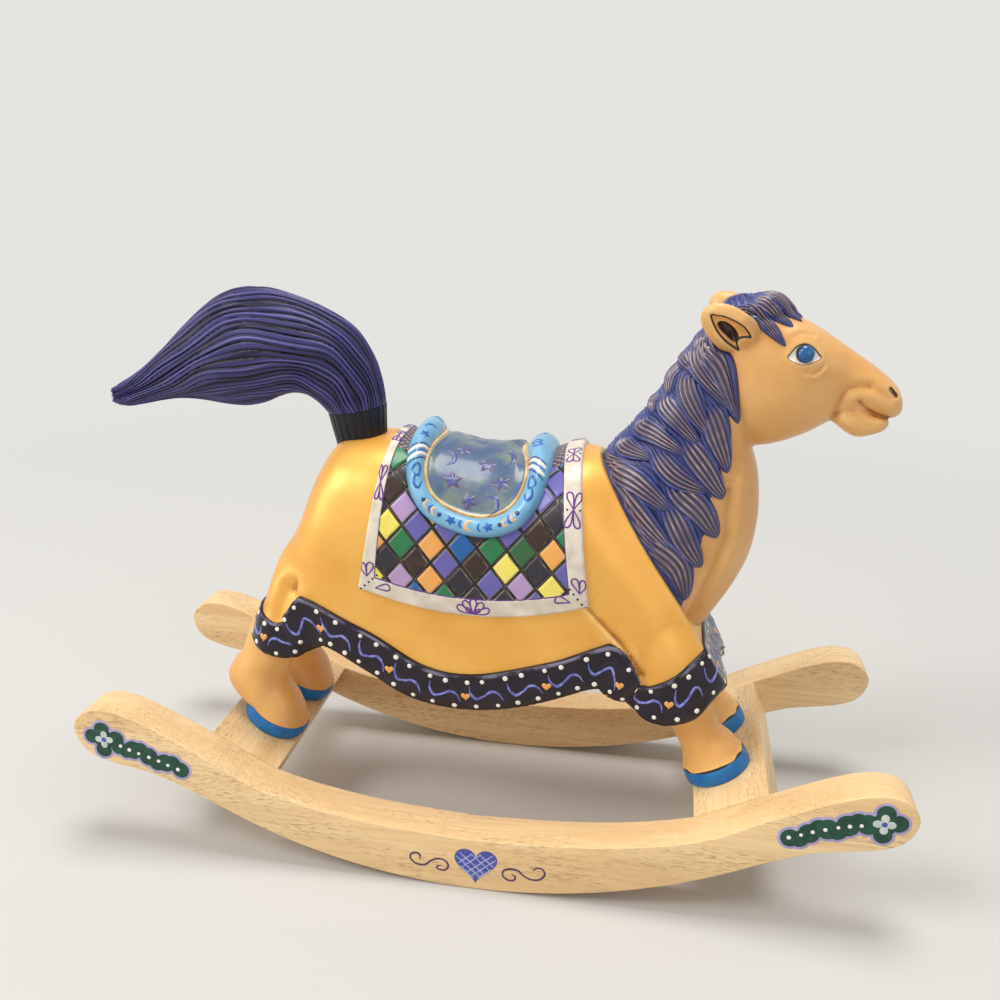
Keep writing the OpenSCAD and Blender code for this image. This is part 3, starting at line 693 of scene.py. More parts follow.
# The skirt's front edge runs from the blanket's corner down into a pleat, and the rear one is
# short.
skirt_crease = [[41.2, 121.6], [47.1, 115.1], [53.4, 108.5], [56.9, 105.1],
                [60.3, 99.5], [63.6, 94.6], [65.4, 92.0]]
sleeve_crease = [[-87.0, 120.0], [-87.2, 115.0]]
for mark, reach, out in (
        ([[39.5, 120.5], [45.0, 114.0], [50.5, 107.5]], 2.4, 0.8),
        (skirt_crease, 1.9, -0.6),
        (skirt_crease[1:], 1.7, -0.5),
        (skirt_crease[2:], 1.7, -0.4),
        ([[57.5, 99.0], [59.5, 90.0], [57.5, 82.0]], 6.0, 2.6),
        ([[54.0, 87.0], [51.0, 83.0]], 2.2, -1.3),
        ([[72.0, 112.0], [80.0, 100.0]], 14.0, 1.0),
        (sleeve_crease, 1.8, -1.3),
        ([[-91.0, 115.5], [-93.5, 109.5], [-96.0, 103.0]], 4.6, -1.7),
        ([[-101.6, 108.5], [-96.4, 118.6], [-90.6, 123.0], [-85.0, 121.5]], 2.6, 0.5),
        ([[-83.0, 116.0], [-84.5, 110.0], [-87.0, 100.0], [-85.5, 93.0]], 4.5, 1.3),
        ([[-78.5, 97.0], [-82.0, 90.0]], 3.0, -1.5),
        # The shoulders and the haunches are a little fuller, and the skirt flares to its hem.
        ([[66.0, 125.0], [72.0, 105.0]], 16.0, 0.9),
        ([[-70.0, 140.0], [-80.0, 118.0]], 18.0, 1.0),
        ([[-30.0, 84.0], [0.0, 84.0], [30.0, 90.0]], 9.0, 0.9),
        ([[-45.0, 108.0], [-5.0, 104.0], [35.0, 110.0]], 9.0, -0.5)):
    press(coat, mark, reach, out, side_on)
smooth(coat)
hollows(coat)
co = points(coat)
# Where the fold lines get painted shade and the front crease's edge a painted highlight.
folds = np.minimum(from_line(co[:, [0, 2]], skirt_crease),
                   from_line(co[:, [0, 2]], sleeve_crease) + 0.4)
lit_edge = from_line(co[:, [0, 2]], np.array(skirt_crease[:5]) - [1.1, 1.0])
store(coat, "fold", np.where(np.abs(co[:, 1]) > 20, folds, 9))
store(coat, "lit_edge", np.where(np.abs(co[:, 1]) > 20, lit_edge, 9))

pearl_gold = Finish("pearl gold paint", 0.42, coat=0.25, coat_roughness=0.24, metallic=0.35)
broad = pearl_gold.cloud(pearl_gold.spot(), 26.0, 3.0, 0.5)
flake = pearl_gold.cloud(pearl_gold.spot(), 2400.0, 2.0)
gold_tone = pearl_gold.mix(pearl_gold.between(broad, 0.35, 0.68), colour(232, 166, 68),
                           colour(240, 182, 86))
# Pale flecks of the pearl paint's flake, partly painted glints.
gold_tone = pearl_gold.over(gold_tone, (255, 222, 150), flake, 0.5, 0.75, 0.3)
hollow = pearl_gold.kept("hollow")
# Painted shade in the creases, and a painted highlight on what stands out.
gold_tone = pearl_gold.over(gold_tone, (184, 120, 46), hollow, 0.03, 0.5)
gold_tone = pearl_gold.over(gold_tone, (246, 206, 130), hollow, -0.03, -0.4, 0.4)
# A dark line of painted shade along the folds, and a painted highlight line beside the front
# crease.
for attribute, wide, share, tone in (("fold", 1.25, 0.66, (150, 90, 34)),
                                     ("lit_edge", 1.2, 0.4, (255, 226, 158))):
    near = pearl_gold.between(pearl_gold.kept(attribute), wide, 0.1)
    gold_tone = pearl_gold.mix(pearl_gold.times(near, share), gold_tone, colour(*tone))
pearl_gold.set("Base Color", gold_tone)
pearl_gold.bump(flake, 0.00003, 0.3)
coat.data.materials.append(pearl_gold.material)
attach(coat, "root")
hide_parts("body_casting")


class Surface:
    """A finished piece, to lay trim and strokes of paint on."""

    def __init__(self, piece):
        mesh = piece.data
        self.tree = BVHTree.FromPolygons([v.co / MM for v in mesh.vertices],
                                         [p.vertices[:] for p in mesh.polygons])
        self.near_points = KDTree(len(mesh.vertices))
        for i, v in enumerate(mesh.vertices):
            self.near_points.insert(v.co / MM, i)
        self.near_points.balance()
        self.faces_out = facing(piece)

    def lay(self, where):
        """The nearest places on the surface, and which way it faces there."""
        spots, ways = np.empty((len(where), 3)), np.empty((len(where), 3))
        for i, p in enumerate(where):
            spots[i] = self.tree.find_nearest(p)[0]
            close = [(n[1], 1 / (n[2] + 0.05)) for n in self.near_points.find_n(spots[i], 4)]
            ways[i] = sum(self.faces_out[k] * w for k, w in close)
        return spots, ways / np.linalg.norm(ways, axis=1)[:, None]


def joined(name, pieces):
    select_only(*pieces)
    bpy.ops.object.join()
    bpy.context.object.name = name
    return bpy.context.object


paint_sunk = 0.25


def stroke(ground, path, widths, height=0.22, steps=4):
    """One brush stroke over the ground: a low ridge of paint that follows path, in 3-D."""
    path = np.asarray(path, float)
    count = (len(path) - 1) * steps
    spots, ways = ground.lay(along_curve(path, np.linspace(0, 1, count + 1)))
    width = along_curve(np.asarray(widths, float)[:, None], np.linspace(0, 1, count + 1))[:, 0]
    ahead = np.gradient(spots, axis=0)
    across = np.cross(ways, ahead)
    across /= np.maximum(np.linalg.norm(across, axis=1), 1e-9)[:, None]
    reach = np.array([-0.5, -0.36, 0.0, 0.36, 0.5])
    lift = np.array([-paint_sunk, height * 0.75, height, height * 0.75, -paint_sunk])

    def shape(turn, run):
        i = np.round(run * count).astype(int)
        k = np.round(turn * 4).astype(int)
        thin = np.minimum(1, width[i] / 0.5)
        lifted = np.where(lift[k] > 0, lift[k] * thin, lift[k])
        return spots[i] + across[i] * (reach[k] * width[i])[:, None] + ways[i] * lifted[:, None]
    return wrapped("stroke", 4, count, shape, close=False)


def dab(ground, where, size, height=0.35, outline=None):
    """A dab of paint: a low round drop, or one that fills outline(angle), its reach by angle."""
    spots, ways = ground.lay([where])
    way = ways[0]
    side = np.cross(way, [0.0, 0.0, 1.0] if abs(way[2]) < 0.9 else [0.0, 1.0, 0.0])
    side /= np.linalg.norm(side)
    up_way = np.cross(side, way)

    def shape(turn, run):
        angle = turn * 2 * math.pi
        reach = size * (outline(angle) if outline else 1.0) * np.sin(run * math.pi / 2)
        rise = height * (np.cos(run * math.pi / 2) ** 0.7) - 0.2 * (run > 0.99)
        flat = (spots[0] + np.outer(reach * np.cos(angle), side)
                + np.outer(reach * np.sin(angle), up_way))
        if outline or size > 2:
            laid, faces = ground.lay(flat)
            return laid + faces * rise[:, None]
        return flat + np.outer(rise, way)
    return wrapped("dab", 12 if outline is None else 40, 3, shape)


def heart(angle):
    """A heart's reach by angle, with its point down."""
    t = np.linspace(0, 2 * math.pi, 181)[:-1]
    across = 16 * np.sin(t) ** 3
    rise = 13 * np.cos(t) - 5 * np.cos(2 * t) - 2 * np.cos(3 * t) - np.cos(4 * t) + 2.0
    return np.interp(angle, np.arctan2(rise, across), np.hypot(across, rise) / 16,
                     period=2 * math.pi)


# ---------------------------------------------------------------- hem trim
# A raised band moulded on the coat's hem and painted aubergine black: each side's skirt band
# ends in a pleat over the bands that run round the front and round the rear.
skirt_band = [
    [-90.5, 89.2, -94.3, 102.3, -37], [-83.0, 88.3, -91.6, 107.6, -39],
    [-76.0, 90.6, -87.8, 113.8, -41], [-71.5, 90.9, -76.0, 111.0, -41],
    [-66.0, 88.7, -64.0, 106.0, -41], [-58.0, 84.6, -51.5, 100.6, -41],
    [-48.9, 79.4, -42.5, 95.6, -41], [-41.0, 73.8, -35.0, 91.5, -41],
    [-33.0, 70.4, -28.0, 88.6, -41], [-23.4, 68.4, -20.0, 86.7, -41],
    [-13.0, 67.7, -11.5, 86.2, -41], [0.5, 68.9, -2.0, 87.2, -41],
    [12.3, 71.4, 9.0, 89.9, -41], [23.8, 75.1, 20.0, 93.2, -41],
    [35.2, 79.6, 31.0, 96.9, -41], [43.5, 83.0, 41.0, 101.0, -41],
    [49.0, 83.4, 52.8, 105.7, -41], [51.5, 79.6, 57.5, 104.0, -40],
    [55.0, 77.3, 62.0, 98.0, -40], [59.5, 78.2, 65.4, 92.6, -40],
    [62.6, 80.6, 66.4, 88.6, -39]]
front_band = [
    [56.5, 77.0, 61.0, 89.0, -38], [62.5, 73.6, 67.5, 86.6, -38],
    [70.2, 70.6, 74.0, 89.6, -37.5], [77.5, 69.7, 79.8, 93.4, -37],
    [85.5, 71.0, 86.0, 97.9, -37.5], [92.5, 75.8, 91.0, 101.2, -36.5],
    [98.0, 80.4, 95.0, 104.0, -33.5], [102.8, 83.0, 97.4, 105.6, -25],
    [104.6, 83.4, 99.0, 106.4, -11], [104.6, 83.4, 99.4, 106.8, 0]]
rear_band = [
    [-77.0, 88.8, -88.0, 101.5, -37], [-84.5, 84.8, -93.5, 101.3, -38],
    [-93.5, 82.8, -97.8, 100.4, -38], [-103.0, 84.2, -103.0, 102.2, -37],
    [-108.0, 86.4, -107.6, 104.2, -34.5], [-111.4, 88.2, -110.0, 105.6, -30],
    [-113.2, 88.8, -111.6, 106.6, -22], [-113.2, 88.6, -111.6, 107.0, -11],
    [-112.0, 88.4, -110.0, 107.2, 0]]


def other_side(columns, middle=0):
    """The same columns on the far side, after the near ones where they meet in the middle."""
    return [[c[0], c[1], c[2], c[3], -c[4]] for c in columns[::-1][middle:]]


band_rows = [(0.10, -3.2, 0.3), (0.0, -1.2, -0.55), (0.0, 0.45, -0.5), (0.02, 0.95, 0.0)]
band_rows += [(share, 1.05, 0.0) for share in np.linspace(0.08, 0.9, 9)]
band_rows += [(0.95, 1.25, 0.0), (0.985, 1.05, 0.0), (1.0, 0.5, 0.0), (1.015, -0.6, 0.0)]
coat_ground = Surface(coat)


class Band:
    """A band laid on the coat through columns of [lower x, lower z, upper x, upper z, y]."""

    def __init__(self, name, columns, extra=0.0, tuck=(1.0, 1.0)):
        count = 10 * (len(columns) - 1)
        col = along_curve(columns, np.linspace(0, 1, count + 1))
        low = np.stack([col[:, 0], col[:, 4], col[:, 1]], axis=1)
        high = np.stack([col[:, 2], col[:, 4], col[:, 3]], axis=1)
        self.shares = np.array([row[0] for row in band_rows])
        rows = []
        for share, lift, drop in band_rows:
            spots, ways = coat_ground.lay(low + (high - low) * share)
            level = ways.copy()
            level[:, 2] *= 0.25 if share <= 0.1 else 1.0
            level /= np.linalg.norm(level, axis=1)[:, None]
            depth = np.full(count + 1, lift + (extra if lift > 0 else 0.0))
            for end, hold in ((0, tuck[0]), (count, tuck[1])):
                near = np.abs(np.arange(count + 1) - end) / 4.0
                depth = np.where((near < 1) & (hold > 0), depth - (1 - near) ** 2 * hold * 2.2,
                                 depth)
            row = spots + level * depth[:, None]
            row[:, 2] += drop
            rows.append(row)
        self.grid = np.array(rows)
        middle = self.grid[len(rows) // 2]
        self.along = np.r_[0, np.cumsum(np.linalg.norm(np.diff(middle, axis=0), axis=1))]
        last = len(rows) - 1

        def shape(turn, run):
            return self.grid[np.round(turn * last).astype(int), np.round(run * count).astype(int)]
        self.piece = wrapped(name, last, count, shape, close=False)
        number = np.arange(len(self.piece.data.vertices))
        store(self.piece, "share", self.shares[number % (last + 1)])
        store(self.piece, "along", self.along[number // (last + 1)])

    def spot(self, along, share):
        """The place on the band that is so far along it and so far up it."""
        i = np.interp(along, self.along, np.arange(len(self.along)))
        a, t = int(min(i, len(self.along) - 2)), i - int(min(i, len(self.along) - 2))
        column = self.grid[3:-2, a] * (1 - t) + self.grid[3:-2, a + 1] * t
        return np.array([np.interp(share, self.shares[3:-2], column[:, k]) for k in range(3)])


bands = [Band("rear trim", rear_band + other_side(rear_band, 1), 0.0, (0.0, 0.0)),
         Band("front trim", front_band + other_side(front_band, 1), 0.0, (0.0, 0.0)),
         Band("near skirt trim", skirt_band, 0.35),
         Band("far skirt trim", other_side(skirt_band), 0.35)]
trim = joined("hem_trim", [band.piece for band in bands])
smooth(trim, 50)

trim_paint = Finish("aubergine trim paint", 0.3, coat=0.35, coat_roughness=0.14, shine=0.2)
smudge = trim_paint.cloud(trim_paint.spot(), 120.0, 4.0, 0.6)
trim_tone = trim_paint.mix(trim_paint.between(smudge, 0.35, 0.75), colour(22, 13, 26),
                           colour(38, 26, 42))
worn = trim_paint.cloud(trim_paint.spot((90, 90, 90)), 1.0, 3.0, 0.6)
share = trim_paint.kept("share")
# A pale line near the band's top edge, broken up at random: partly wear, partly a painted highlight
# on the ridge.
worn_edge_highlight = trim_paint.times(trim_paint.between(share, 0.88, 0.93),
                            trim_paint.between(share, 0.99, 0.965))
worn_edge_highlight = trim_paint.times(worn_edge_highlight, trim_paint.between(worn, 0.40, 0.62))
trim_tone = trim_paint.mix(trim_paint.times(worn_edge_highlight, 0.75), trim_tone,
                           colour(140, 135, 160))
trim_paint.set("Base Color", trim_tone)
trim_paint.bump(smudge, 0.00012, 0.4)
trim.data.materials.append(trim_paint.material)
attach(trim, "root")

trim_ground = Surface(trim)
drops, curls, hearts = [], [], []
pearl_size, pearl_gap = 1.15, 9.0
for number, band in enumerate(bands):
    length = band.along[-1]
    for row, (share_at, shift) in enumerate(((0.84, 0.35), (0.15, 0.85))):
        for k in range(int(length / pearl_gap)):
            wander = 0.8 * math.sin(3.1 * k + 1.7 * row + number)
            at = (k + shift) * pearl_gap + wander
            if 2.0 < at < length - 2.0:
                spot = band.spot(at, share_at + 0.015 * math.sin(5.3 * k + number))
                drops.append(dab(trim_ground, spot, pearl_size * (1 + 0.1 * math.sin(4.4 * k))))
    repeat = 36.0
    for k in range(int(length / repeat) + 1):
        start = 4.5 + k * repeat
        for at in (start, start + 18.5):
            if at + 15.0 > length - 3:
                continue
            line = [(0.0, 0.74), (0.5, 0.54), (3.0, 0.38), (6.6, 0.46), (9.8, 0.56), (13.0, 0.48),
                    (14.6, 0.28)]
            path = [band.spot(at + u, share_u) for u, share_u in line]
            curls.append(stroke(trim_ground, path, [0.3, 1.1, 1.7, 1.15, 1.6, 1.1, 0.3]))
        if start + 16.8 < length - 4:
            hearts.append(dab(trim_ground, band.spot(start + 16.8, 0.44), 2.2, 0.4, heart))

pearl_paint = Finish("off-white dot paint", 0.3, coat=0.4)
pearl_paint.mottle(900.0, (226, 222, 208), (244, 240, 230))
curl_paint = Finish("periwinkle scroll paint", 0.3, coat=0.4)
curl_paint.set("Base Color", curl_paint.mix(
    curl_paint.between(curl_paint.cloud(curl_paint.spot(), 420.0), 0.35, 0.7),
    colour(84, 86, 168), colour(140, 146, 220)))
heart_paint = Finish("orange heart paint", 0.3, coat=0.4)
heart_paint.mottle(700.0, (222, 150, 66), (236, 176, 96))
for name, parts, paint in (("trim_dots", drops, pearl_paint), ("trim_scrolls", curls, curl_paint),
                           ("trim_hearts", hearts, heart_paint)):
    piece = joined(name, parts)
    smooth(piece, 60)
    piece.data.materials.append(paint.material)
    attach(piece, "root")

# ---------------------------------------------------------------- neck and head
# One casting, set into the collar on a round peg and glued: tan paint, with the moulded ears,
# eyelids, nostrils and mouth picked out by brush, and a blue ground under the mane's locks.
neck_stations = [
    [37.0, 174.8, 86.1, 97.8, 26.5], [42.2, 178.0, 89.0, 101.0, 27.2],
    [46.5, 184.0, 96.0, 112.0, 26.5], [52.0, 190.0, 103.2, 125.0, 25.0],
    [57.0, 196.5, 108.2, 138.0, 23.0], [62.0, 203.0, 110.2, 151.0, 21.0],
    [66.5, 211.0, 110.2, 163.0, 19.3], [71.0, 219.0, 108.8, 174.0, 17.8],
    [76.0, 227.5, 106.3, 183.0, 16.5], [81.5, 235.0, 103.0, 190.0, 15.5],
    [90.0, 238.0, 105.0, 200.0, 13.0]]
head_stations = [
    [81.5, 230.0, 90.0, 203.0, 8.5], [87.5, 238.5, 94.5, 194.0, 13.8],
    [95.0, 243.2, 101.0, 188.2, 16.4, 2.1], [104.0, 244.6, 107.0, 186.9, 17.5, 2.2],
    [113.0, 243.6, 114.0, 188.6, 18.0, 2.3, 2.1], [120.5, 241.0, 121.0, 191.3, 17.6, 2.4, 2.1],
    [127.0, 238.0, 127.5, 194.6, 16.0, 2.4, 2.1], [134.0, 233.8, 133.0, 198.0, 13.7, 2.3],
    [140.0, 230.0, 137.5, 200.8, 12.0, 2.2], [146.0, 226.3, 144.0, 202.2, 11.4, 2.2, 2.1],
    [152.0, 222.4, 150.5, 203.2, 11.2, 2.2, 2.2], [156.6, 219.0, 155.6, 203.0, 10.4, 2.2, 2.3],
    [160.4, 215.6, 159.8, 202.3, 8.6, 2.3, 2.3], [162.7, 211.4, 162.5, 203.8, 6.2, 2.1, 2.1]]
chin_stations = [
    [134.0, 205.0, 134.5, 200.6, 5.5], [138.0, 207.0, 138.5, 197.6, 8.8],
    [143.0, 208.5, 143.0, 194.6, 9.9, 2, 2.1], [148.0, 207.8, 147.5, 193.4, 9.6, 2, 2.2],
    [152.6, 205.6, 153.0, 195.0, 9.4, 2.3, 2.2], [155.8, 204.2, 156.4, 196.4, 8.2, 2.3, 2.1],
    [158.0, 202.4, 158.4, 198.4, 5.4]]
ear_mid, ear_tip = np.array([89.3, 237.2]), np.array([-0.81, 0.59])
ear_up = np.array([0.59, 0.81])
ear_stations = []
for reach, half, thick in ((13.6, 0.8, 0.9), (13.0, 2.6, 2.0), (11.6, 4.5, 3.0), (9.0, 6.4, 3.9),
                           (5.0, 8.0, 4.6), (0.0, 8.8, 5.0), (-5.0, 8.8, 5.2), (-10.0, 7.6, 5.2),
                           (-14.0, 5.0, 4.0)):
    spot = ear_mid + ear_tip * reach
    ear_stations.append([*(spot + ear_up * half), *(spot - ear_up * half), thick, 2.2, 2.2])

lumps = [clay("neck", neck_stations, 96, 120), clay("head", head_stations, 96, 140),
         clay("chin", chin_stations, 48, 40)]
for side in (-1, 1):
    ear = clay("ear", ear_stations, 40, 44, side * 15.0)
    co = points(ear)
    reach = (co[:, [0, 2]] - ear_mid) @ ear_tip
    co[:, 1] += side * ((co[:, 2] - 236) * 0.30 - np.maximum(0, -1 - reach) * 0.42)
    co[:, 0] += 1.3 if side < 0 else 5.2
    co[:, 2] += 0.0 if side < 0 else 1.0
    set_points(ear, co)
    lumps.append(ear)
lumps.append(clay("poll", [[86.0, 242.0, 88.0, 236.0, 4.0], [90.0, 246.4, 92.0, 236.0, 8.0],
                           [97.0, 249.0, 98.0, 236.0, 9.5], [104.0, 250.2, 104.0, 236.0, 9.5],
                           [110.0, 249.3, 109.0, 236.0, 8.0], [114.5, 245.6, 113.0, 236.0, 5.0],
                           [117.0, 242.6, 116.0, 236.0, 2.0]], 48, 40))
head = fused("neck_and_head_cast", lumps, 0.66, 6)
relax(head, [[92.0, 206.0], [98.0, 194.0], [104.0, 186.0]], 9.0, 60)
relax(head, [[101.0, -14.5, 226.0], [104.0, -15.5, 236.0]], 6.0, 40)
relax(head, [[104.0, 14.5, 227.0], [107.0, 15.5, 237.0]], 6.0, 40)


def inside(where, corners):
    """How far points of the side view are inside a closed outline, and less than 0 outside."""
    corners = np.asarray(corners, float)
    ends = np.roll(corners, -1, axis=0)
    crossed = np.zeros(len(where), bool)
    for (ax, az), (bx, bz) in zip(corners, ends):
        if az == bz:
            continue
        hit = (az > where[:, 1]) != (bz > where[:, 1])
        crossed ^= hit & (where[:, 0] < (bx - ax) * (where[:, 1] - az) / (bz - az) + ax)
    near = from_line(where, np.vstack([corners, corners[:1]]))
    return np.where(crossed, near, -near)


def rounded(corners, steps=6):
    """A closed outline drawn as a smooth curve through its corners."""
    corners = np.asarray(corners, float)
    ring = np.vstack([corners[-1:], corners, corners[:2]])
    run = np.linspace(1, len(corners) + 1, len(corners) * steps + 1)[:-1] / (len(ring) - 1)
    return along_curve(ring, run)


def step_up(value, low, high):
    t = np.clip((value - low) / (high - low), 0, 1)
    return t * t * (3 - 2 * t)


eye_outline = [[114.0, 227.0], [115.3, 229.6], [117.1, 231.6], [119.5, 232.7], [121.9, 232.4],
               [124.3, 230.9], [126.0, 229.0], [127.2, 227.5], [125.5, 226.2], [122.9, 225.2],
               [119.9, 224.7], [117.0, 225.4]]
ear_outline = [[82.2, 243.2], [84.6, 243.2], [87.4, 242.9], [90.8, 241.7], [94.2, 240.0],
               [96.8, 237.8], [98.9, 234.5], [96.4, 234.6], [94.2, 233.9], [93.6, 231.8],
               [94.8, 228.8], [91.8, 230.5], [88.8, 232.8], [85.8, 235.9], [83.5, 239.6]]
ear_pit = [[84.9, 239.3], [86.4, 240.4], [88.8, 240.0], [91.7, 238.1], [94.0, 235.3],
           [94.2, 233.6], [92.7, 231.6], [90.0, 233.4], [86.8, 236.2]]
ear_edge = [[77.5, 243.0], [79.5, 247.5], [84.0, 249.5], [90.0, 248.5], [96.0, 245.5],
            [101.0, 240.0], [101.0, 231.0], [94.5, 225.0], [88.0, 227.5], [82.3, 232.1]]
mane_outline = [[80.0, 238.0], [84.5, 227.5], [88.6, 221.0], [92.6, 210.0], [94.5, 203.0],
                [90.0, 198.0], [92.5, 187.0], [90.5, 181.0], [91.5, 173.0], [88.0, 167.0],
                [90.0, 158.0], [86.5, 151.0], [86.0, 142.0], [81.5, 136.0], [82.2, 126.0],
                [80.5, 119.0], [60.0, 120.0], [30.0, 170.0], [36.0, 186.0], [60.0, 214.0]]
forelock_outline = [[83.0, 241.0], [88.0, 250.0], [100.0, 254.0], [112.0, 254.0], [119.0, 245.0],
                    [117.0, 243.4], [111.0, 244.2], [103.0, 245.0], [96.0, 244.6], [90.0, 242.6]]

# The cheek, jowl, brow and the bone of the nose.
press(head, [108.0, 208.0], 13.0, 0.9, lambda c: np.clip(np.abs(c[:, 1]) / 10 - 0.5, 0, 1))
on_cheek = (lambda c: np.clip((np.abs(c[:, 1]) - 4) / 6, 0, 1))
for mark, reach, out in (
        ([[128.0, 214.0], [140.0, 212.0]], 8.0, -1.1),
        ([[148.0, 216.6], [143.5, 216.2], [140.2, 215.0], [138.0, 211.5], [136.8, 207.0],
          [136.0, 202.5]], 2.0, -1.0),
        ([[141.5, 212.6], [144.7, 213.0], [148.2, 212.4], [151.5, 211.2], [154.8, 209.6],
          [157.8, 208.2], [160.0, 207.3]], 2.3, 0.85),
        ([[148.0, 216.2], [152.0, 214.8], [156.0, 211.8]], 2.0, -0.3),
        ([[141.0, 209.5], [140.2, 205.5], [142.0, 202.0]], 3.2, 0.5),
        ([[143.0, 218.5], [149.0, 218.0], [154.0, 217.2]], 3.0, 0.4),
        ([[113.5, 236.0], [117.7, 237.8], [121.8, 237.4], [125.0, 235.6]], 2.0, 0.35),
        ([[115.0, 235.0], [117.7, 236.4], [120.8, 236.7], [124.0, 235.8]], 0.8, -0.3),
        ([[122.0, 221.6], [124.9, 221.0], [127.2, 222.3], [128.3, 223.8]], 0.8, -0.5),
        ([[122.3, 220.4], [125.0, 219.7], [127.7, 221.2], [129.0, 222.9]], 1.1, 0.45)):
    press(head, mark, reach, out, on_cheek)
# The mouth runs forward and down from its corner, and the nostril is a short slot in a soft
# bulge.
mouth = [[144.7, 209.8], [146.6, 208.0], [149.3, 206.1], [152.4, 204.3], [155.3, 203.2],
         [158.0, 202.7]]
anywhere = (lambda c: np.clip((c[:, 0] - 138) / 4, 0, 1) * (c[:, 2] < 216))
for mark, reach, out in (
        (mouth, 0.8, -0.95),
        ([[145.8, 205.8], [149.6, 203.2], [153.4, 201.6], [157.0, 201.0]], 1.5, 0.5),
        ([[144.8, 207.6], [148.6, 204.8], [152.0, 203.2]], 0.9, -0.35)):
    press(head, mark, reach, out, anywhere)
for side in (-1, 1):
    press(head, [[156.6, side * 9.6, 216.2], [159.0, side * 9.0, 212.6]], 2.6, 0.45)
    press(head, [[156.9, side * 9.6, 215.6], [158.8, side * 9.3, 213.2]], 0.95, -1.9)
# The windpipe shows as a soft fold down the front of the neck.
on_throat = (lambda c: np.clip((np.abs(c[:, 1]) - 3) / 6, 0, 1) * (c[:, 2] < 186))
for mark, reach, out in (
        ([[95.8, 171.0], [96.6, 157.0], [96.4, 149.8], [94.6, 141.5], [91.0, 131.0], [87.0, 119.5],
          [84.5, 113.0]], 2.3, -1.6),
        ([[100.5, 174.0], [101.4, 156.4], [100.6, 145.5], [96.2, 130.4], [91.2, 118.7]], 3.0, 1.0),
        ([[94.5, 175.6], [96.0, 174.2], [97.8, 174.8]], 0.8, -0.5)):
    press(head, mark, reach, out, on_throat)

# The eyes' and ears' outlines, let in; and the mane's ground, combed into strands.
under_mane = points(head)
co, ways = points(head), facing(head)
flat = co[:, [0, 2]]
outward = np.abs(co[:, 1]) > 8
lid = np.where(outward, inside(flat, rounded(eye_outline)), -9.0)
facing_out = ways[:, 1] * np.sign(co[:, 1]) > 0.15
cup = np.where((np.abs(co[:, 1]) > 12) & facing_out, inside(flat, rounded(ear_outline, 3)), -9.0)
pit = np.where((np.abs(co[:, 1]) > 8) & facing_out, inside(flat, rounded(ear_pit)), -9.0)
on_mane = inside(flat, mane_outline)
on_mane = np.where(np.abs(co[:, 1]) < 12.5, np.maximum(on_mane, inside(flat, forelock_outline)),
                   on_mane)
on_mane = np.where(np.abs(co[:, 1]) > 11.0, np.minimum(on_mane, -inside(flat, ear_edge)), on_mane)
combed = (co[:, 0] * 0.83 + co[:, 2] * 0.55 + 1.2 * np.sin(co[:, 0] * 0.35)
          + 0.6 * np.sin(co[:, 2] * 0.6))
move = -0.75 * step_up(lid, -0.2, 1.3) + 0.22 * np.exp(-((lid + 0.9) / 0.8) ** 2)
move -= 1.5 * step_up(cup, -0.1, 1.2) + 2.4 * step_up(pit, -0.2, 1.4)
move += 0.3 * np.exp(-((cup + 1.2) / 1.0) ** 2) * (cup > -4)
move += step_up(on_mane, -0.8, 1.2) * (0.6 + 0.35 * np.sin(combed * 2.8))
set_points(head, co + ways * move[:, None])
store(head, "lid", lid)
store(head, "cup", cup)
store(head, "pit", pit)
store(head, "mane", on_mane)
store(head, "mouth", np.where(np.abs(co[:, 1]) > 0, from_line(flat, mouth), 9))
nostril = np.minimum(from_line(co, [[156.9, 9.3, 215.6], [158.8, 9.0, 213.2]]),
                     from_line(co, [[156.9, -9.3, 215.6], [158.8, -9.0, 213.2]]))
store(head, "nostril", nostril)
store(head, "upper",
      step_up(co[:, 2] - np.interp(co[:, 0], [113.6, 127.4], [227.0, 227.8]), -0.8, 0.4))
hollows(head)
smooth(head)

face_paint, face_tone = tan_paint("tan face paint", (213, 157, 89), (222, 171, 106), (178, 114, 55))


def painted(paint, tone, mask, over, share=1.0):
    return paint.mix(paint.times(mask, share) if share != 1.0 else mask, tone, over)


lid_at, cup_at, pit_at = (face_paint.kept(key) for key in ("lid", "cup", "pit"))
above_eye = face_paint.kept("upper")
face_tone = painted(face_paint, face_tone, face_paint.between(lid_at, 0.15, 0.32),
                    colour(240, 234, 222))
lid_line = face_paint.times(face_paint.between(lid_at, -0.3, -0.14),
                           face_paint.between(lid_at, 0.34, 0.16))
face_tone = painted(face_paint, face_tone, face_paint.times(lid_line, above_eye),
                    colour(58, 38, 36))
face_tone = painted(face_paint, face_tone,
                    face_paint.times(lid_line, face_paint.math("SUBTRACT", 1.0, above_eye)),
                    colour(150, 110, 84), 0.8)
face_tone = painted(face_paint, face_tone, face_paint.between(cup_at, 0.3, 0.6),
                    colour(226, 160, 84))
cup_rim = face_paint.times(face_paint.between(cup_at, 0.6, 0.9),
                           face_paint.between(pit_at, -0.5, -1.1))
face_tone = painted(face_paint, face_tone, cup_rim, colour(214, 150, 82), 0.6)
face_tone = painted(face_paint, face_tone, face_paint.between(pit_at, -0.25, 0.1),
                    colour(62, 34, 30))
cup_line = face_paint.times(face_paint.between(cup_at, -0.35, -0.15),
                           face_paint.between(cup_at, 0.5, 0.3))
face_tone = painted(face_paint, face_tone, cup_line, colour(30, 20, 20))
face_tone = painted(face_paint, face_tone, face_paint.between(face_paint.kept("mouth"), 0.6, 0.1),
                    colour(158, 98, 54), 0.65)
face_tone = painted(face_paint, face_tone, face_paint.between(face_paint.kept("nostril"), 1.4, 1.1),
                    colour(50, 21, 14))
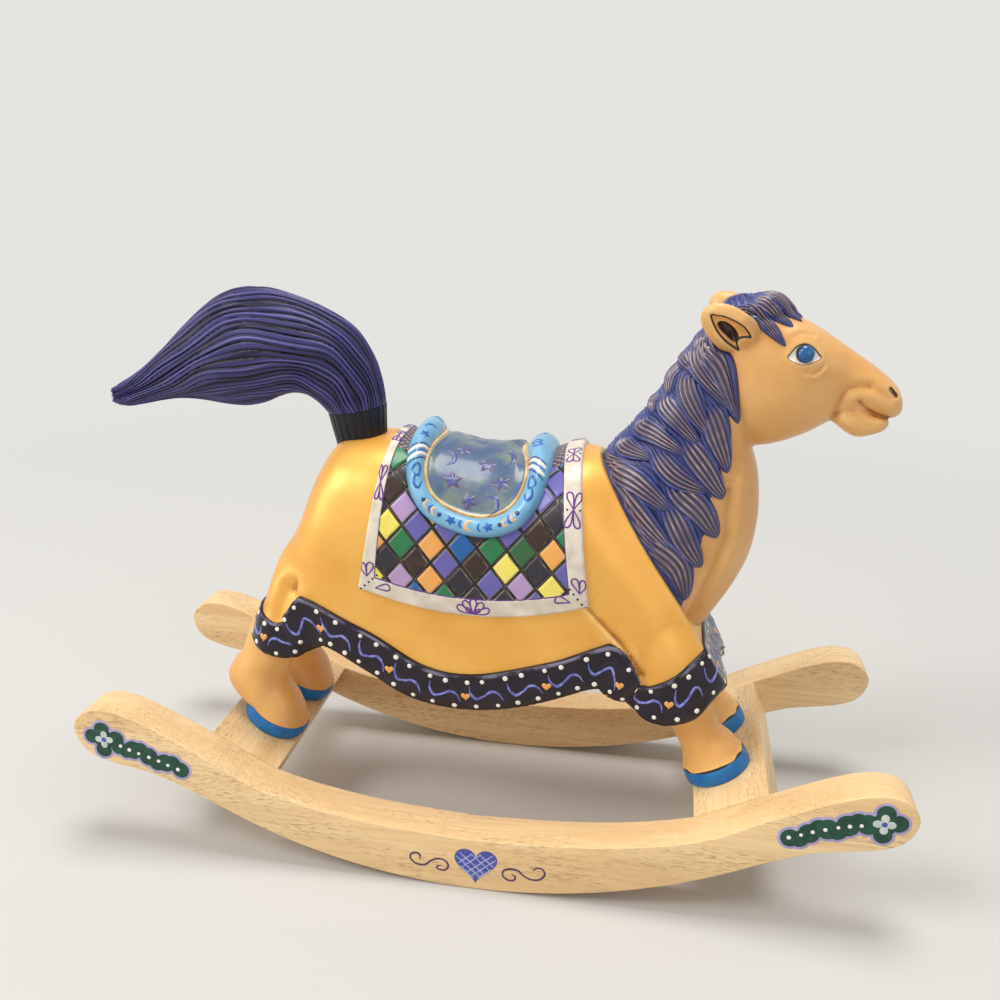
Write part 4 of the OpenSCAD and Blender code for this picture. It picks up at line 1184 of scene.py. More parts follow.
# The mane's blue ground, darker in its combed grooves as painted shade.
mane_ground_with_shade = face_paint.mix(face_paint.between(face_paint.kept("hollow"), -0.1, 0.12),
                           colour(52, 60, 126), colour(18, 20, 54))
face_tone = painted(face_paint, face_tone, face_paint.between(face_paint.kept("mane"), -0.1, 0.1),
                    mane_ground_with_shade)
face_paint.set("Base Color", face_tone)
head.data.materials.append(face_paint.material)
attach(head, "root")
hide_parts("neck_and_head")

# ---------------------------------------------------------------- eyes
# Two glass cabochons, painted sky blue with a dark rim and set in drilled sockets; only their
# polished domes stand out between the lids.
eye_glass = Finish("blue glass eye", 0.06, coat=0.2, coat_roughness=0.02, shine=0.5)
eye_rim = eye_glass.kept("rim")
iris = eye_glass.mix(eye_glass.between(eye_glass.cloud(eye_glass.spot(), 380.0), 0.3, 0.75),
                     colour(0, 72, 128), colour(4, 100, 160))
iris = eye_glass.over(iris, (12, 16, 32), eye_rim, 0.87, 0.92)
eye_glass.set("Base Color", iris)
eye_mid, eye_reach = np.array([120.7, 15.4, 228.9]), 3.75
for side, name in ((1, "left"), (-1, "right")):
    def dome(turn, run):
        lean = math.radians(12)
        out_way = np.array([math.sin(lean), side * math.cos(lean), 0.10])
        out_way /= np.linalg.norm(out_way)
        across = np.cross(out_way, [0, 0, 1.0])
        across /= np.linalg.norm(across)
        rise = np.cross(across, out_way)
        angle, tilt = turn * 2 * math.pi, run * math.pi
        centre = eye_mid * [1, side, 1]
        ring = eye_reach * np.sin(tilt)
        return (centre + np.outer(ring * np.cos(angle), across)
                + np.outer(ring * np.sin(angle), rise)
                + np.outer(3.1 * np.cos(tilt), out_way))
    eye = wrapped("eye_dome_" + name, 48, 32, dome,
                  keep={"rim": lambda turn, run: np.where(run < 0.5, np.sin(run * math.pi), 1.0)})
    smooth(eye)
    eye.data.materials.append(eye_glass.material)
    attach(eye, "root")
    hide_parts("eye_" + name)

# ---------------------------------------------------------------- mane and forelock
# Overlapping leaf-shaped locks moulded with the head: blue, fluted, with dry-brushed fawn ridges,
# painted shade in the grooves, as dark lines down the middle of each and round its edge, and
# paler blue painted highlights on the ridges.
cast_points = points(head)
set_points(head, under_mane)
head_ground = Surface(head)
set_points(head, cast_points)


def at_side(ground, x, z, side, depth):
    """The surface at a place in the side view, from that side or from so far out of the middle."""
    hit = None
    if depth > 10:
        hit = ground.tree.ray_cast(Vector((x, side * 70, z)), Vector((0, -side, 0)))[0]
    if hit is None:
        hit = ground.tree.find_nearest(Vector((x, side * depth, z)))[0]
    return np.array(hit)


def lock(ground, path, width, rise, root=0.45):
    """A leaf-shaped lock laid along path, low at its root and proud at its pointed tip."""
    flutes, steps = 3, 30
    run_at = np.linspace(0, 1, steps + 1)
    line = along_curve(np.asarray(path, float), run_at)
    ahead = np.gradient(line, axis=0)
    ways = ground.lay(line)[1]
    for _ in range(3):
        ways[1:-1] = (ways[:-2] + ways[1:-1] * 2 + ways[2:]) / 4
    across = np.cross(ways, ahead)
    across /= np.linalg.norm(across, axis=1)[:, None]
    opened = step_up(run_at, 0, 0.45)
    leaf = (root + (1 - root) * opened) * np.clip(
        1 - np.clip((run_at - 0.5) / 0.5, 0, 1) ** 2.0, 0, 1) ** 0.9
    lift = rise * (0.12 + 0.88 * step_up(run_at, 0.05, 0.6)) * (1 - 0.35 * step_up(run_at, 0.75, 1))
    share = np.linspace(-1, 1, 13)
    flat = line[:, None, :] + across[:, None, :] * (
        share[None, :, None] * leaf[:, None, None] * width / 2)
    laid, faces = ground.lay(flat.reshape(-1, 3))
    laid, faces = laid.reshape(steps + 1, 13, 3), faces.reshape(steps + 1, 13, 3)
    top = 40

    def parts(turn, run):
        i = np.round(run * steps).astype(int)
        k = np.round(turn * (top + 8)).astype(int)
        u = np.where(k <= top, k / top * 2 - 1, 1 - (k - top) / 8 * 2)
        return i, k, u

    def wave(run):
        return 0.10 * np.sin(run * 5.0 + width)

    def ridge(turn, run):
        u = parts(turn, run)[2] + wave(run)
        return np.cos(u * math.pi * 2 * flutes)

    def shape(turn, run):
        i, k, u = parts(turn, run)
        at = (u + 1) * 6
        j = np.minimum(at.astype(int), 11)
        t = (at - j)[:, None]
        spot = laid[i, j] * (1 - t) + laid[i, j + 1] * t
        way = faces[i, j] * (1 - t) + faces[i, j + 1] * t
        full = np.sqrt(np.clip(leaf[i], 0, 1))
        up = lift[i] * np.sqrt(np.clip(1 - np.abs(u) ** 3.5, 0, 1)) * np.clip(leaf[i] * 3, 0, 1)
        up += (0.42 * full * np.cos((u + wave(run)) * math.pi * 2 * flutes)
               * np.clip(leaf[i] * 1.5, 0, 1) * (1 - u ** 8))
        up = np.where((k > 0) & (k < top), up - 0.15, -0.9)
        up *= np.where(up > 0, 0.1 + 0.9 * step_up((spot - collar) @ collar_up, 0, 6), 1)
        return spot + way * up[:, None]
    return wrapped("lock", top + 8, steps, shape, keep={
        "ridge": ridge, "middle": lambda turn, run: 1 - np.abs(parts(turn, run)[2]),
        "run": lambda turn, run: run})


mane_locks = [
    [[63.9, 146.9], [77.1, 137.9], [81.8, 121.4], 12.3, 24],
    [[74.0, 160.5], [79.8, 148.6], [87.5, 137.5], 11.0, 24],
    [[50.6, 165.7], [57.9, 153.6], [70.5, 141.7], 8.6, 22],
    [[48.4, 169.5], [60.3, 158.3], [75.2, 144.7], 11.2, 21],
    [[75.4, 170.4], [85.0, 161.7], [93.0, 150.6], 11.6, 24],
    [[46.6, 177.2], [60.2, 170.6], [73.3, 161.8], 10.6, 14],
    [[44.1, 179.7], [49.8, 173.9], [65.3, 171.7], 8.0, 6],
    [[67.4, 181.8], [76.0, 174.8], [87.4, 170.3], 9.3, 21],
    [[79.3, 188.2], [86.3, 178.0], [93.8, 167.1], 10.6, 21],
    [[51.4, 186.1], [57.6, 180.4], [67.7, 178.0], 8.6, 8],
    [[57.1, 195.2], [66.9, 188.5], [78.9, 182.0], 9.6, 8],
    [[86.0, 202.7], [89.6, 191.5], [94.8, 178.3], 10.4, 18],
    [[67.3, 205.3], [73.2, 198.8], [83.0, 188.9], 9.2, 11],
    [[75.5, 214.4], [79.0, 203.8], [86.1, 193.5], 9.6, 14],
    [[61.6, 206.7], [64.0, 201.9], [68.1, 195.4], 7.4, 4],
    [[70.7, 219.3], [71.2, 212.7], [73.7, 204.0], 8.4, 4],
    [[77.1, 228.3], [83.0, 218.1], [93.8, 201.3], 9.2, 8],
    [[81.3, 229.5], [88.9, 219.6], [97.4, 198.3], 11.4, 12],
    [[73.8, 225.0], [77.6, 220.6], [84.0, 214.7], 8.4, 4],
    [[79.5, 233.0], [83.0, 226.5], [86.5, 217.5], 7.6, 6]]
for side, name in ((-1, "right"), (1, "left")):
    locks = []
    for start, middle, tip, width, depth in mane_locks:
        by_crest = depth < 15
        back = [start[0] + 5.0, start[1] + 7.5] if by_crest else [start[0] - 3.5, start[1] + 6.0]
        line = [at_side(head_ground, *back, side, depth * 0.4)] \
            + [at_side(head_ground, *p, side, depth) for p in (start, middle, tip)]
        locks.append(lock(head_ground, line, width * 1.28, 2.5 if width > 8.5 else 2.0))
    for start, middle, tip, width in (
            ([89.0, 6.0, 244.0], [98.0, 11.0, 243.0], [106.0, 14.0, 236.5], 7.0),
            ([92.0, 5.5, 247.0], [102.0, 10.5, 242.0], [113.0, 14.5, 230.8], 9.0),
            ([96.0, 3.5, 248.5], [106.0, 8.0, 245.2], [115.5, 10.5, 237.6], 8.0),
            ([99.0, 1.5, 249.5], [109.5, 5.0, 247.4], [119.6, 7.0, 240.6], 7.0)):
        line = [[p[0], p[1] * side, p[2]] for p in (start, middle, tip)]
        line.insert(1, [(a + b) / 2 for a, b in zip(line[0], line[1])])
        locks.append(lock(head_ground, line, width, 1.7, root=0.6))
    if side < 0:
        for start, middle, tip, width in (
                ([97.0, 0, 250.0], [109.0, -1.0, 249.5], [120.5, -1.5, 242.2], 6.5),
                ([84.0, 0, 241.0], [89.0, 1.0, 246.0], [98.0, 0.5, 250.0], 7.0)):
            locks.append(lock(head_ground, [start, middle, tip], width, 1.5, root=0.6))
    mane = joined("mane_locks_" + name, locks)
    smooth(mane)
    hair = Finish("mane paint " + name, 0.34, coat=0.5, coat_roughness=0.18)
    ridge, middle, run = hair.kept("ridge"), hair.kept("middle"), hair.kept("run")
    dusty = hair.cloud(hair.spot(), 260.0, 3)
    # Painted shade darkens the blue in the flutes' grooves.
    blue = hair.mix(hair.between(ridge, -1.0, 0.2), colour(20, 22, 56), colour(58, 66, 128))
    # A paler blue painted highlight on the ridges, here and there.
    blue = hair.mix(hair.times(hair.between(dusty, 0.45, 0.8), hair.between(ridge, -0.2, 0.6)),
                    blue, colour(96, 104, 162))
    core = hair.times(hair.between(middle, 0.32, 0.48),
                     hair.times(hair.between(run, 0.22, 0.4), hair.between(run, 0.95, 0.82)))
    # Down the middle of each lock: painted shade in the grooves.
    shaded_core = hair.mix(hair.between(ridge, -0.9, -0.2), colour(40, 34, 58), colour(96, 80, 98))
    fawn = hair.mix(hair.between(dusty, 0.3, 0.7), colour(122, 104, 112), colour(184, 162, 146))
    tone = hair.mix(hair.times(core, 0.85), blue, shaded_core)
    uneven = hair.between(hair.cloud(hair.spot(), 75.0, 2), 0.32, 0.62)
    brushed = hair.times(hair.between(ridge, 0.5, 0.95), core)
    tone = hair.mix(hair.times(brushed, uneven), tone, fawn)
    # Painted shade round each lock's edge.
    tone = hair.over(tone, (16, 18, 50), middle, 0.10, 0.02)
    hair.set("Base Color", tone)
    mane.data.materials.append(hair.material)
    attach(mane, "root")

# ---------------------------------------------------------------- dock and tail
# The dock is moulded with the coat's colour stopped short of it; the tail is a casting of long
# combed strands, pegged and glued on it, in dark indigo, with painted shade in its grooves and
# a violet painted highlight on its ridges.
dock_stations = [[-54.8, 176.5, -76.8, 170.0, 11.6], [-55.2, 181.4, -77.7, 174.8, 11.8],
                 [-55.4, 187.6, -79.6, 181.8, 12.6], [-55.5, 194.1, -81.6, 189.1, 13.3]]


def strands(angle, run):
    """The combed surface, from 0 in the grooves to 1: strands that part and meet as they run."""
    at = (angle * 29 + 2.6 * np.sin(angle * 1.3 + run * 8)
          + 1.3 * np.sin(angle * 2.6 - run * 17 + 1) + 0.7 * np.sin(run * 31 + angle * 6))
    number = np.round(at / math.pi)
    depth = 0.65 + 0.35 * step_up(np.sin(run * (5 + 2 * np.sin(number * 1.7)) + number * 2.4),
                                  -0.6, 0.4)
    coarse = 1 - (1 - np.abs(np.sin(at)) ** 0.55) * depth
    fine = np.abs(np.sin(at * 1.7 + 1.5 * np.sin(run * 9 + angle * 4))) ** 0.5
    clumps = np.abs(np.sin(at / 4 + 0.9 * np.sin(run * 6))) ** 0.45
    return np.clip((coarse * 0.78 + fine * 0.22) * (0.5 + 0.5 * clumps), 0, 1)


def dock_shape(turn, run):
    s = along_curve(dock_stations, np.clip((np.round(run * 24) - 1) / 22, 0, 1))
    angle = turn * 2 * math.pi
    grown = np.where((run <= 0) | (run >= 1), 0,
                     1 - 0.035 * (1 - np.abs(np.sin(angle * 11)) ** 0.6))
    middle, half = (s[:, :2] + s[:, 2:4]) / 2, (s[:, :2] - s[:, 2:4]) / 2
    return np.stack([middle[:, 0] + half[:, 0] * np.cos(angle) * grown,
                     s[:, 4] * np.sin(angle) * grown,
                     middle[:, 1] + half[:, 1] * np.cos(angle) * grown], axis=1)


dock = wrapped("dock_stub", 176, 24, dock_shape)
smooth(dock, 50)

tail_stations = [
    [-55.5, 194.1, -81.6, 189.1, 13.5], [-56.0, 199.5, -86.0, 193.5, 14.5],
    [-57.4, 206.5, -91.5, 196.9, 15.5], [-60.5, 215.5, -97.5, 197.2, 16.6],
    [-68.5, 227.0, -103.0, 195.2, 17.6], [-81.5, 234.8, -109.0, 192.2, 18.2],
    [-97.0, 240.0, -115.5, 190.6, 18.4], [-111.5, 242.8, -122.5, 190.1, 18.2],
    [-124.5, 241.6, -130.5, 190.2, 17.4], [-136.0, 235.6, -138.5, 191.0, 16.0],
    [-147.0, 225.8, -146.5, 191.4, 14.0], [-157.5, 215.2, -154.5, 191.0, 11.8],
    [-167.0, 206.2, -162.5, 189.4, 9.6], [-175.5, 199.8, -170.5, 187.4, 7.6],
    [-182.2, 195.8, -177.6, 185.9, 5.8], [-185.6, 193.6, -182.6, 186.6, 4.4]]
around, along = 470, 205


def from_crest(turn):
    """The angle down from the tail's crest, the same on both sides, so that they mirror."""
    return np.abs((turn * 2 * math.pi + math.pi) % (2 * math.pi) - math.pi)


def tail_shape(turn, run):
    row = np.clip((np.round(run * along) - 1) / (along - 2), 0, 1)
    s = along_curve(tail_stations, row)
    closed = np.where((run <= 0) | (run >= 1), 0.0, 1.0)
    angle = turn * 2 * math.pi
    upper, lower = s[:, [0, 1]], s[:, [2, 3]]
    middle, half = (upper + lower) / 2, (upper - lower) / 2
    tall = np.linalg.norm(half, axis=1)
    side = np.where(np.sin(angle) > 0, 1.0, -1.0)
    combed = tail_comb(turn, run)
    folded = from_crest(turn)
    lumps = 0.8 * np.cos(folded * 4.5 + 1.2 * np.sin(row * 7)) * step_up(row, 0.06, 0.3)
    angle = side * math.pi * (1 - (1 - folded / math.pi) ** (1 + 1.3 * step_up(row, 0.25, 0.9)))
    depth = -1.4 * step_up(row, 0.0, 0.08) * (1 - combed) + lumps - 0.25
    depth -= 0.55 * (row < 0.004)
    grown = closed * (1 + depth / ((tall + s[:, 4]) / 2))
    frayed = 1.6 * (combed - 0.5) * step_up(row, 0.93, 1.0)
    return np.stack([middle[:, 0] + half[:, 0] * np.cos(angle) * grown - frayed,
                     s[:, 4] * np.sin(angle) * grown,
                     middle[:, 1] + half[:, 1] * np.cos(angle) * grown - frayed * 0.5], axis=1)


def tail_comb(turn, run):
    return strands(from_crest(turn), run)


tail = wrapped("combed_tail", around, along, tail_shape, keep={"comb": tail_comb})
smooth(tail, 60)
# Each paint's dark tone is painted shade for the grooves and hollows.
for piece, name, dark, light in (
        (dock, "dock paint", (8, 7, 12), (26, 24, 34)),
        (tail, "tail paint", (8, 7, 22), (64, 59, 120))):
    hair = Finish(name, 0.42, coat=0.2, coat_roughness=0.25, shine=0.2)
    hollows(piece)
    worn = hair.cloud(hair.spot((1, 1, 1)), 90.0, 4)
    tone = hair.mix(hair.times(hair.between(worn, 0.35, 0.75), 0.6), colour(*light),
                    colour(48, 48, 90))
    if piece is tail:
        comb = hair.kept("comb")
        # Painted shade in the grooves between the strands.
        tone = hair.mix(hair.between(comb, 0.45, 0.95), colour(*dark), tone)
        # A violet painted highlight on the strands' tops.
        tone = hair.over(tone, (112, 108, 168), comb, 0.9, 1.0, 0.8)
    else:
        # Painted shade in the dock's hollows, and its lighter tone as a painted highlight on what
        # stands out.
        tone = hair.mix(hair.between(hair.kept("hollow"), 0.1, -0.1), colour(*dark), colour(*light))
    hair.set("Base Color", tone)
    piece.data.materials.append(hair.material)
    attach(piece, "root")
    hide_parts("tail_dock" if piece is dock else "tail")

# ---------------------------------------------------------------- blanket
# A moulded saddle blanket glued over the back: a raised cream border with violet line flowers,
# round a harlequin of raised diamonds painted in many colours between black grooves.
back_axis, clear_of_coat = 132, 90
drape_x = np.arange(-62.0, 46.1, 1.0)
drape_lean = np.radians(np.linspace(0, 120, 100))
drape_s = np.arange(0.0, 92.1, 1.0)
drape = np.empty((len(drape_x), len(drape_s), 3))
for i, x in enumerate(drape_x):
    ring = []
    for a in drape_lean:
        out_way = Vector((0, -math.sin(a), math.cos(a)))
        hit = coat_ground.tree.ray_cast(Vector((x, 0, back_axis)) + out_way * clear_of_coat,
                                        -out_way)[0]
        ring.append(hit if hit is not None else ring[-1])
    ring = np.array(ring)
    ring[0, 1] = 0
    length = np.r_[0, np.cumsum(np.linalg.norm(np.diff(ring, axis=0), axis=1))]
    drape[i] = np.stack([np.interp(drape_s, length, ring[:, k]) for k in range(3)], axis=1)
for _ in range(4):
    drape[1:-1] = (drape[:-2] + 2 * drape[1:-1] + drape[2:]) / 4
    drape[:, 1:-1] = (drape[:, :-2] + 2 * drape[:, 1:-1] + drape[:, 2:]) / 4
drape_out = np.cross(np.gradient(drape, axis=1), np.gradient(drape, axis=0))
inward = np.einsum("ijk,ijk->ij", drape_out, drape - [0, 0, back_axis] - drape * [1, 0, 0]) < 0
drape_out[inward] *= -1
drape_out[:, 0, 1] = 0
drape_out /= np.maximum(np.linalg.norm(drape_out, axis=2), 1e-9)[:, :, None]


def draped(x, s, up):
    """Points up from the back, at x and s: how far down the side, more than 0 on the right one."""
    i = np.clip(x - drape_x[0], 0, len(drape_x) - 1.001)
    k = np.clip(np.abs(s), 0, len(drape_s) - 1.001)
    a, b = i.astype(int), k.astype(int)
    t, w = (i - a)[:, None], (k - b)[:, None]

    def read(grid):
        return ((grid[a, b] * (1 - t) + grid[a + 1, b] * t) * (1 - w)
                + (grid[a, b + 1] * (1 - t) + grid[a + 1, b + 1] * t) * w)
    way = read(drape_out)
    spots = (read(drape) + way / np.linalg.norm(way, axis=1)[:, None]
             * np.asarray(up, float)[:, None])
    spots[:, 1] *= np.where(s < 0, -1.0, 1.0)
    return spots


def down_to(x, z):
    """How far down the side the back reaches a height, at x."""
    i = int(round(x - drape_x[0]))
    return float(np.interp(-z, -drape[i, :, 2], drape_s))


blanket_x, border, hem_mid = -7.5, 8.4, 114.2
hem_x = np.arange(-60.0, 45.1, 1.0)
hem_s = np.array([down_to(x, hem_mid + 8.0 * ((x - blanket_x) / 49.0) ** 2) for x in hem_x])
spine_reach, hem_flare = 41.5, 8.0
wide, tall = 6.45, 7.5
diamond_x, diamond_z = -25.5, 143.6
level_s = np.array([down_to(x, diamond_z) for x in hem_x])
columns, rows, strip_half = 196, 290, 18.0


def border_share(rear, down):
    """The border's share of its full breadth: the rear one narrows towards the spine."""
    return np.where(rear, 0.42 + 0.38 * down ** 2, 0.86)


def blanket_grid(turn, run):
    c, r = np.round(turn * columns), np.round(run * rows)
    u = np.clip((c - 1) / (columns - 2), 0, 1) * 2 - 1
    v = np.clip((r - 1) / (rows - 2), 0, 1) * 2 - 1
    reach = spine_reach + hem_flare * np.abs(v) ** 1.6
    x = blanket_x + u * reach
    hem = np.interp(x, hem_x, hem_s)
    s = v * hem
    edge = np.minimum((1 - np.abs(u)) * reach / border_share(u < 0, np.abs(v)),
                      (hem - np.abs(s)) / 0.93)
    tucked = (c < 1) | (c > columns - 1) | (r < 1) | (r > rows - 1)
    i, j = (x - diamond_x) / wide, (np.abs(s) - np.interp(x, hem_x, level_s)) / tall
    return x, s, edge, tucked, (i + j) / 2, (i - j) / 2


def blanket_shape(turn, run):
    x, s, edge, tucked, p, q = blanket_grid(turn, run)
    groove = np.minimum(0.5 - np.abs(p - np.round(p)), 0.5 - np.abs(q - np.round(q))) * 9.78
    panel = 1.15 + 0.75 * step_up(groove, 0.3, 1.0)
    panel = np.where(np.abs(s) < strip_half, 1.7 + 0.2 * np.sin(x * 1.9) * np.sin(s * 1.9), panel)
    frame = (2.35 + 0.1 * np.sin(x * 0.7) * np.sin(s * 0.45)
             - 1.0 * np.clip(1 - edge / 1.1, 0, 1) ** 2)
    up = panel + (frame - panel) * step_up(edge, border + 0.35, border - 0.35)
    return draped(x, s, np.where(tucked, -0.6, up))


def store_colour(piece, name, values):
    attribute = piece.data.attributes.new(name, "FLOAT_COLOR", "POINT")
    attribute.data.foreach_set("color", np.asarray(values, np.float32).ravel())


paints = {"lilac": (176, 146, 190), "violet": (98, 92, 165), "dark": (36, 32, 42),
          "green": (28, 116, 66), "leaf": (44, 92, 50), "orange": (232, 164, 84),
          "blue": (22, 92, 160), "brown": (48, 26, 16), "yellow": (236, 220, 100),
          "taupe": (96, 74, 60)}
diamond_rows = {
    -7: "dark violet green orange dark lilac", -6: "blue dark lilac brown violet blue",
    -5: "green brown violet leaf yellow violet", -4: "dark lilac blue dark orange violet",
    -3: "brown violet dark green dark violet leaf", -2: "lilac orange green lilac violet dark",
    -1: "yellow violet violet dark violet brown green", 0: "green orange blue green leaf orange",
    1: "dark brown violet brown yellow dark violet", 2: "lilac orange dark violet lilac yellow",
    3: "leaf blue green dark dark violet", 4: "violet dark yellow brown green lilac"}
blanket = wrapped("harlequin_blanket", columns, rows, blanket_shape, close=False, keep={
    "edge": lambda turn, run: blanket_grid(turn, run)[2],
    "down": lambda turn, run: blanket_grid(turn, run)[1],
    "p": lambda turn, run: blanket_grid(turn, run)[4],
    "q": lambda turn, run: blanket_grid(turn, run)[5]})
number = np.arange(len(blanket.data.vertices))
p, q = blanket_grid((number % (columns + 1)) / columns, (number // (columns + 1)) / rows)[4:]
cell_i, cell_j = (np.round(p) + np.round(q)).astype(int), (np.round(p) - np.round(q)).astype(int)
tints = np.ones((len(number), 4), np.float32)
for j, names in diamond_rows.items():
    names = names.split()
    for i in range(-6, 14):
        tint = colour(*paints[names[((i + 3 - (j + 1) % 2) // 2) % len(names)]])
        tints[(cell_i == i) & (cell_j == j)] = tint
store_colour(blanket, "tint", tints)
smooth(blanket, 60)

cloth = Finish("harlequin blanket paint", 0.36, coat=0.3, coat_roughness=0.2)
edge, tone = cloth.kept("edge"), cloth.kept("tint", 0)
mottle = cloth.cloud(cloth.spot(), 300.0, 3)
tone = cloth.over(tone, (120, 112, 120), mottle, 0.4, 0.8, 0.1)
gaps = [cloth.math("ABSOLUTE", cloth.math("SUBTRACT", cloth.math("FRACT", cloth.math(
    "ADD", cloth.kept(key), 100.5)), 0.5)) for key in ("p", "q")]
gap = cloth.math("MAXIMUM", *gaps)
rubbed = cloth.cloud(cloth.spot((1, 1, 1)), 130.0, 3)
thin = cloth.times(cloth.between(gap, 0.395, 0.405), cloth.between(rubbed, 0.5, 0.6))
tone = cloth.mix(cloth.times(thin, 0.8), tone, colour(150, 128, 92))
tone = cloth.over(tone, (20, 17, 18), gap, 0.425, 0.44)
fine_line = cloth.times(cloth.between(gap, 0.488, 0.494), cloth.between(rubbed, 0.52, 0.44))
tone = cloth.mix(cloth.times(fine_line, 0.8), tone, colour(150, 120, 84))
down = cloth.math("ABSOLUTE", cloth.kept("down"))
hatch = cloth.math("SINE", cloth.times(cloth.kept("down"), 1.9))
hatch_x = cloth.math("SINE", cloth.times(cloth.math("ADD", cloth.kept("p"), cloth.kept("q")),
                                         12.25))
strip = cloth.mix(cloth.between(cloth.times(hatch, hatch_x), 0.25, 0.6), colour(76, 64, 78),
                  colour(158, 134, 122))
tone = cloth.mix(cloth.between(down, strip_half + 0.2, strip_half - 0.2), tone, strip)
cream = cloth.mix(cloth.between(rubbed, 0.35, 0.7), colour(222, 212, 196), colour(200, 188, 170))
tone = cloth.over(tone, (88, 52, 116), edge, border + 0.45, border + 0.3)
tone = cloth.mix(cloth.between(edge, border - 0.1, border - 0.25), tone, cream)
cloth.set("Base Color", tone)
blanket.data.materials.append(cloth.material)
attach(blanket, "root")
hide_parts("saddle_blanket")

blanket_ground = Surface(blanket)


def on_blanket(side, x, s):
    return draped(np.array([x]), np.array([s * -side]), np.array([2.3]))[0]


def leaf_line(side, x, s, turn, long, fat):
    """A leaf or petal drawn as one closed brush line from its foot at x, s."""
    line = []
    for t in np.linspace(0, 1, 13):
        along_leaf = math.sin(t * math.pi) ** 0.8 * long
        across_leaf = fat * math.sin(t * 2 * math.pi)
        line.append(on_blanket(side, x + along_leaf * math.cos(turn) - across_leaf * math.sin(turn),
                               s - along_leaf * math.sin(turn) - across_leaf * math.cos(turn)))
    return stroke(blanket_ground, line, [0.6, 0.9, 0.8, 0.9, 0.6], 0.16, 2)


flowers, dots = [], []
for side in (-1, 1):
    hem_here = float(np.interp(-6.5, hem_x, hem_s))
    for turn, long in ((90, 6.6), (52, 6.6), (128, 6.6), (18, 7.2), (162, 7.2)):
        flowers.append(leaf_line(side, -6.5, hem_here - 1.4, math.radians(turn), long, 1.4))
    for turn in (34, 146):
        flowers.append(leaf_line(side, -6.5, hem_here - 1.6, math.radians(turn), 3.6, 0.7))
    for end in (-1, 1):
        for at in (0.45, 0.11):
            s = hem_here * at + (4 if end > 0 else 0)
            middle = float(border_share(end < 0, at)) * border / 2
            x = blanket_x + end * (spine_reach + hem_flare * (s / hem_here) ** 1.6 - middle)
            for lean in (-1, 1):
                for turn in (90 + lean * (18 if end > 0 else 10),
                             270 + lean * (18 if end > 0 else 10)):
                    flowers.append(leaf_line(side, x, s, math.radians(turn),
                                             7.4 if at > 0.3 else 5.4, 1.2 if end > 0 else 0.8))
                if end > 0:
                    dots.append(dab(blanket_ground, on_blanket(side, x + lean * 2.4, s), 0.5, 0.22))
        x = blanket_x + end * (spine_reach + hem_flare - 4.6)
        s = float(np.interp(x, hem_x, hem_s)) - 5.0
        for turn, long in ((74, 6.4), (116, 6.4)):
            flowers.append(leaf_line(side, x + end * 0.4, s - 2.6, math.radians(turn), long, 1.45))
        flowers.append(leaf_line(side, x - end * 3.2, s + 2.3, math.radians(90 + end * 76),
                                 6.6, 1.5))
        for k in range(5):
            dots.append(dab(blanket_ground,
                            on_blanket(side, x + end * (3.2 - k * 1.75), s + 3.6 - k * 1.75),
                            0.55, 0.22))
for name, parts, paint in (("blanket_flowers", flowers, (88, 32, 122)),
                           ("blanket_dots", dots, (26, 22, 28))):
    piece = joined(name, parts)
    smooth(piece, 60)
    brushed = Finish(name + "_paint", 0.32, coat=0.4)
    brushed.mottle(700.0, paint, [c + 22 for c in paint])
    piece.data.materials.append(brushed.material)
    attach(piece, "root")

# ---------------------------------------------------------------- saddle
# A moulded saddle glued on the blanket: a sky blue roll all round a dished slate-blue seat, with
# a gold line between them, both glazed and painted with stars, moons, scrolls and dots.
saddle_x, half_long, half_down, squareness = -9.5, 32.0, 46.5, 3.6
roll = [(-0.02, -0.9), (0.0, 0.4), (0.1, 1.8), (0.6, 3.3), (1.5, 4.7), (2.9, 5.8), (4.6, 6.3),
        (6.4, 6.1), (8.0, 5.4), (9.3, 4.4), (10.2, 3.5), (10.6, 3.1), (10.8, 3.5), (11.1, 3.9),
        (11.5, 4.05), (11.9, 3.9), (12.2, 3.5), (12.4, 3.0)]
roll_in, dish_in = roll[-1][0], 19.0


def saddle_edge(angle):
    """How far the saddle reaches that way from its middle, and how broad its roll is there."""
    c, w = np.cos(angle), np.sin(angle)
    reach = ((np.abs(c) / half_long) ** squareness
             + (np.abs(w) / half_down) ** squareness) ** (-1 / squareness)
    return reach, 0.68 + np.where(c < 0, 0.3, 0.5) * np.abs(c) ** 1.5


def saddle_spot(angle, inset):
    """A place on the saddle: angle goes round it from its front, and inset in from its edge."""
    reach, broad = saddle_edge(angle)
    c, w = np.cos(angle), np.sin(angle)
    share = np.clip(1 - inset * broad / reach, 0, 1)
    x, s = saddle_x + c * reach * share, w * reach * share
    high = 0.74 + 0.66 * np.clip(-c, 0, 1) ** 4 + 0.54 * np.clip(c, 0, 1) ** 4
    table = np.array(roll)
    rim = np.interp(inset, table[:, 0], table[:, 1]) * high + 1.9
    seat = 4.2 + (5.3 - 2.2 * np.clip(-c, 0, 1)) * np.exp(-(s / 20.0) ** 2)
    up = rim + (seat - rim) * step_up(inset, roll_in, dish_in) * (inset > roll_in)
    return draped(x, s, np.where(inset < 0, -0.6, up))


rings = [inset for inset, rise in roll]
fine_rings = [rings[0]]
for a, b in zip(rings[:-1], rings[1:]):
    fine_rings += [a + (b - a) / 3, a + (b - a) * 2 / 3, b]
fine_rings = np.array(fine_rings)
turns, inner = 240, 26


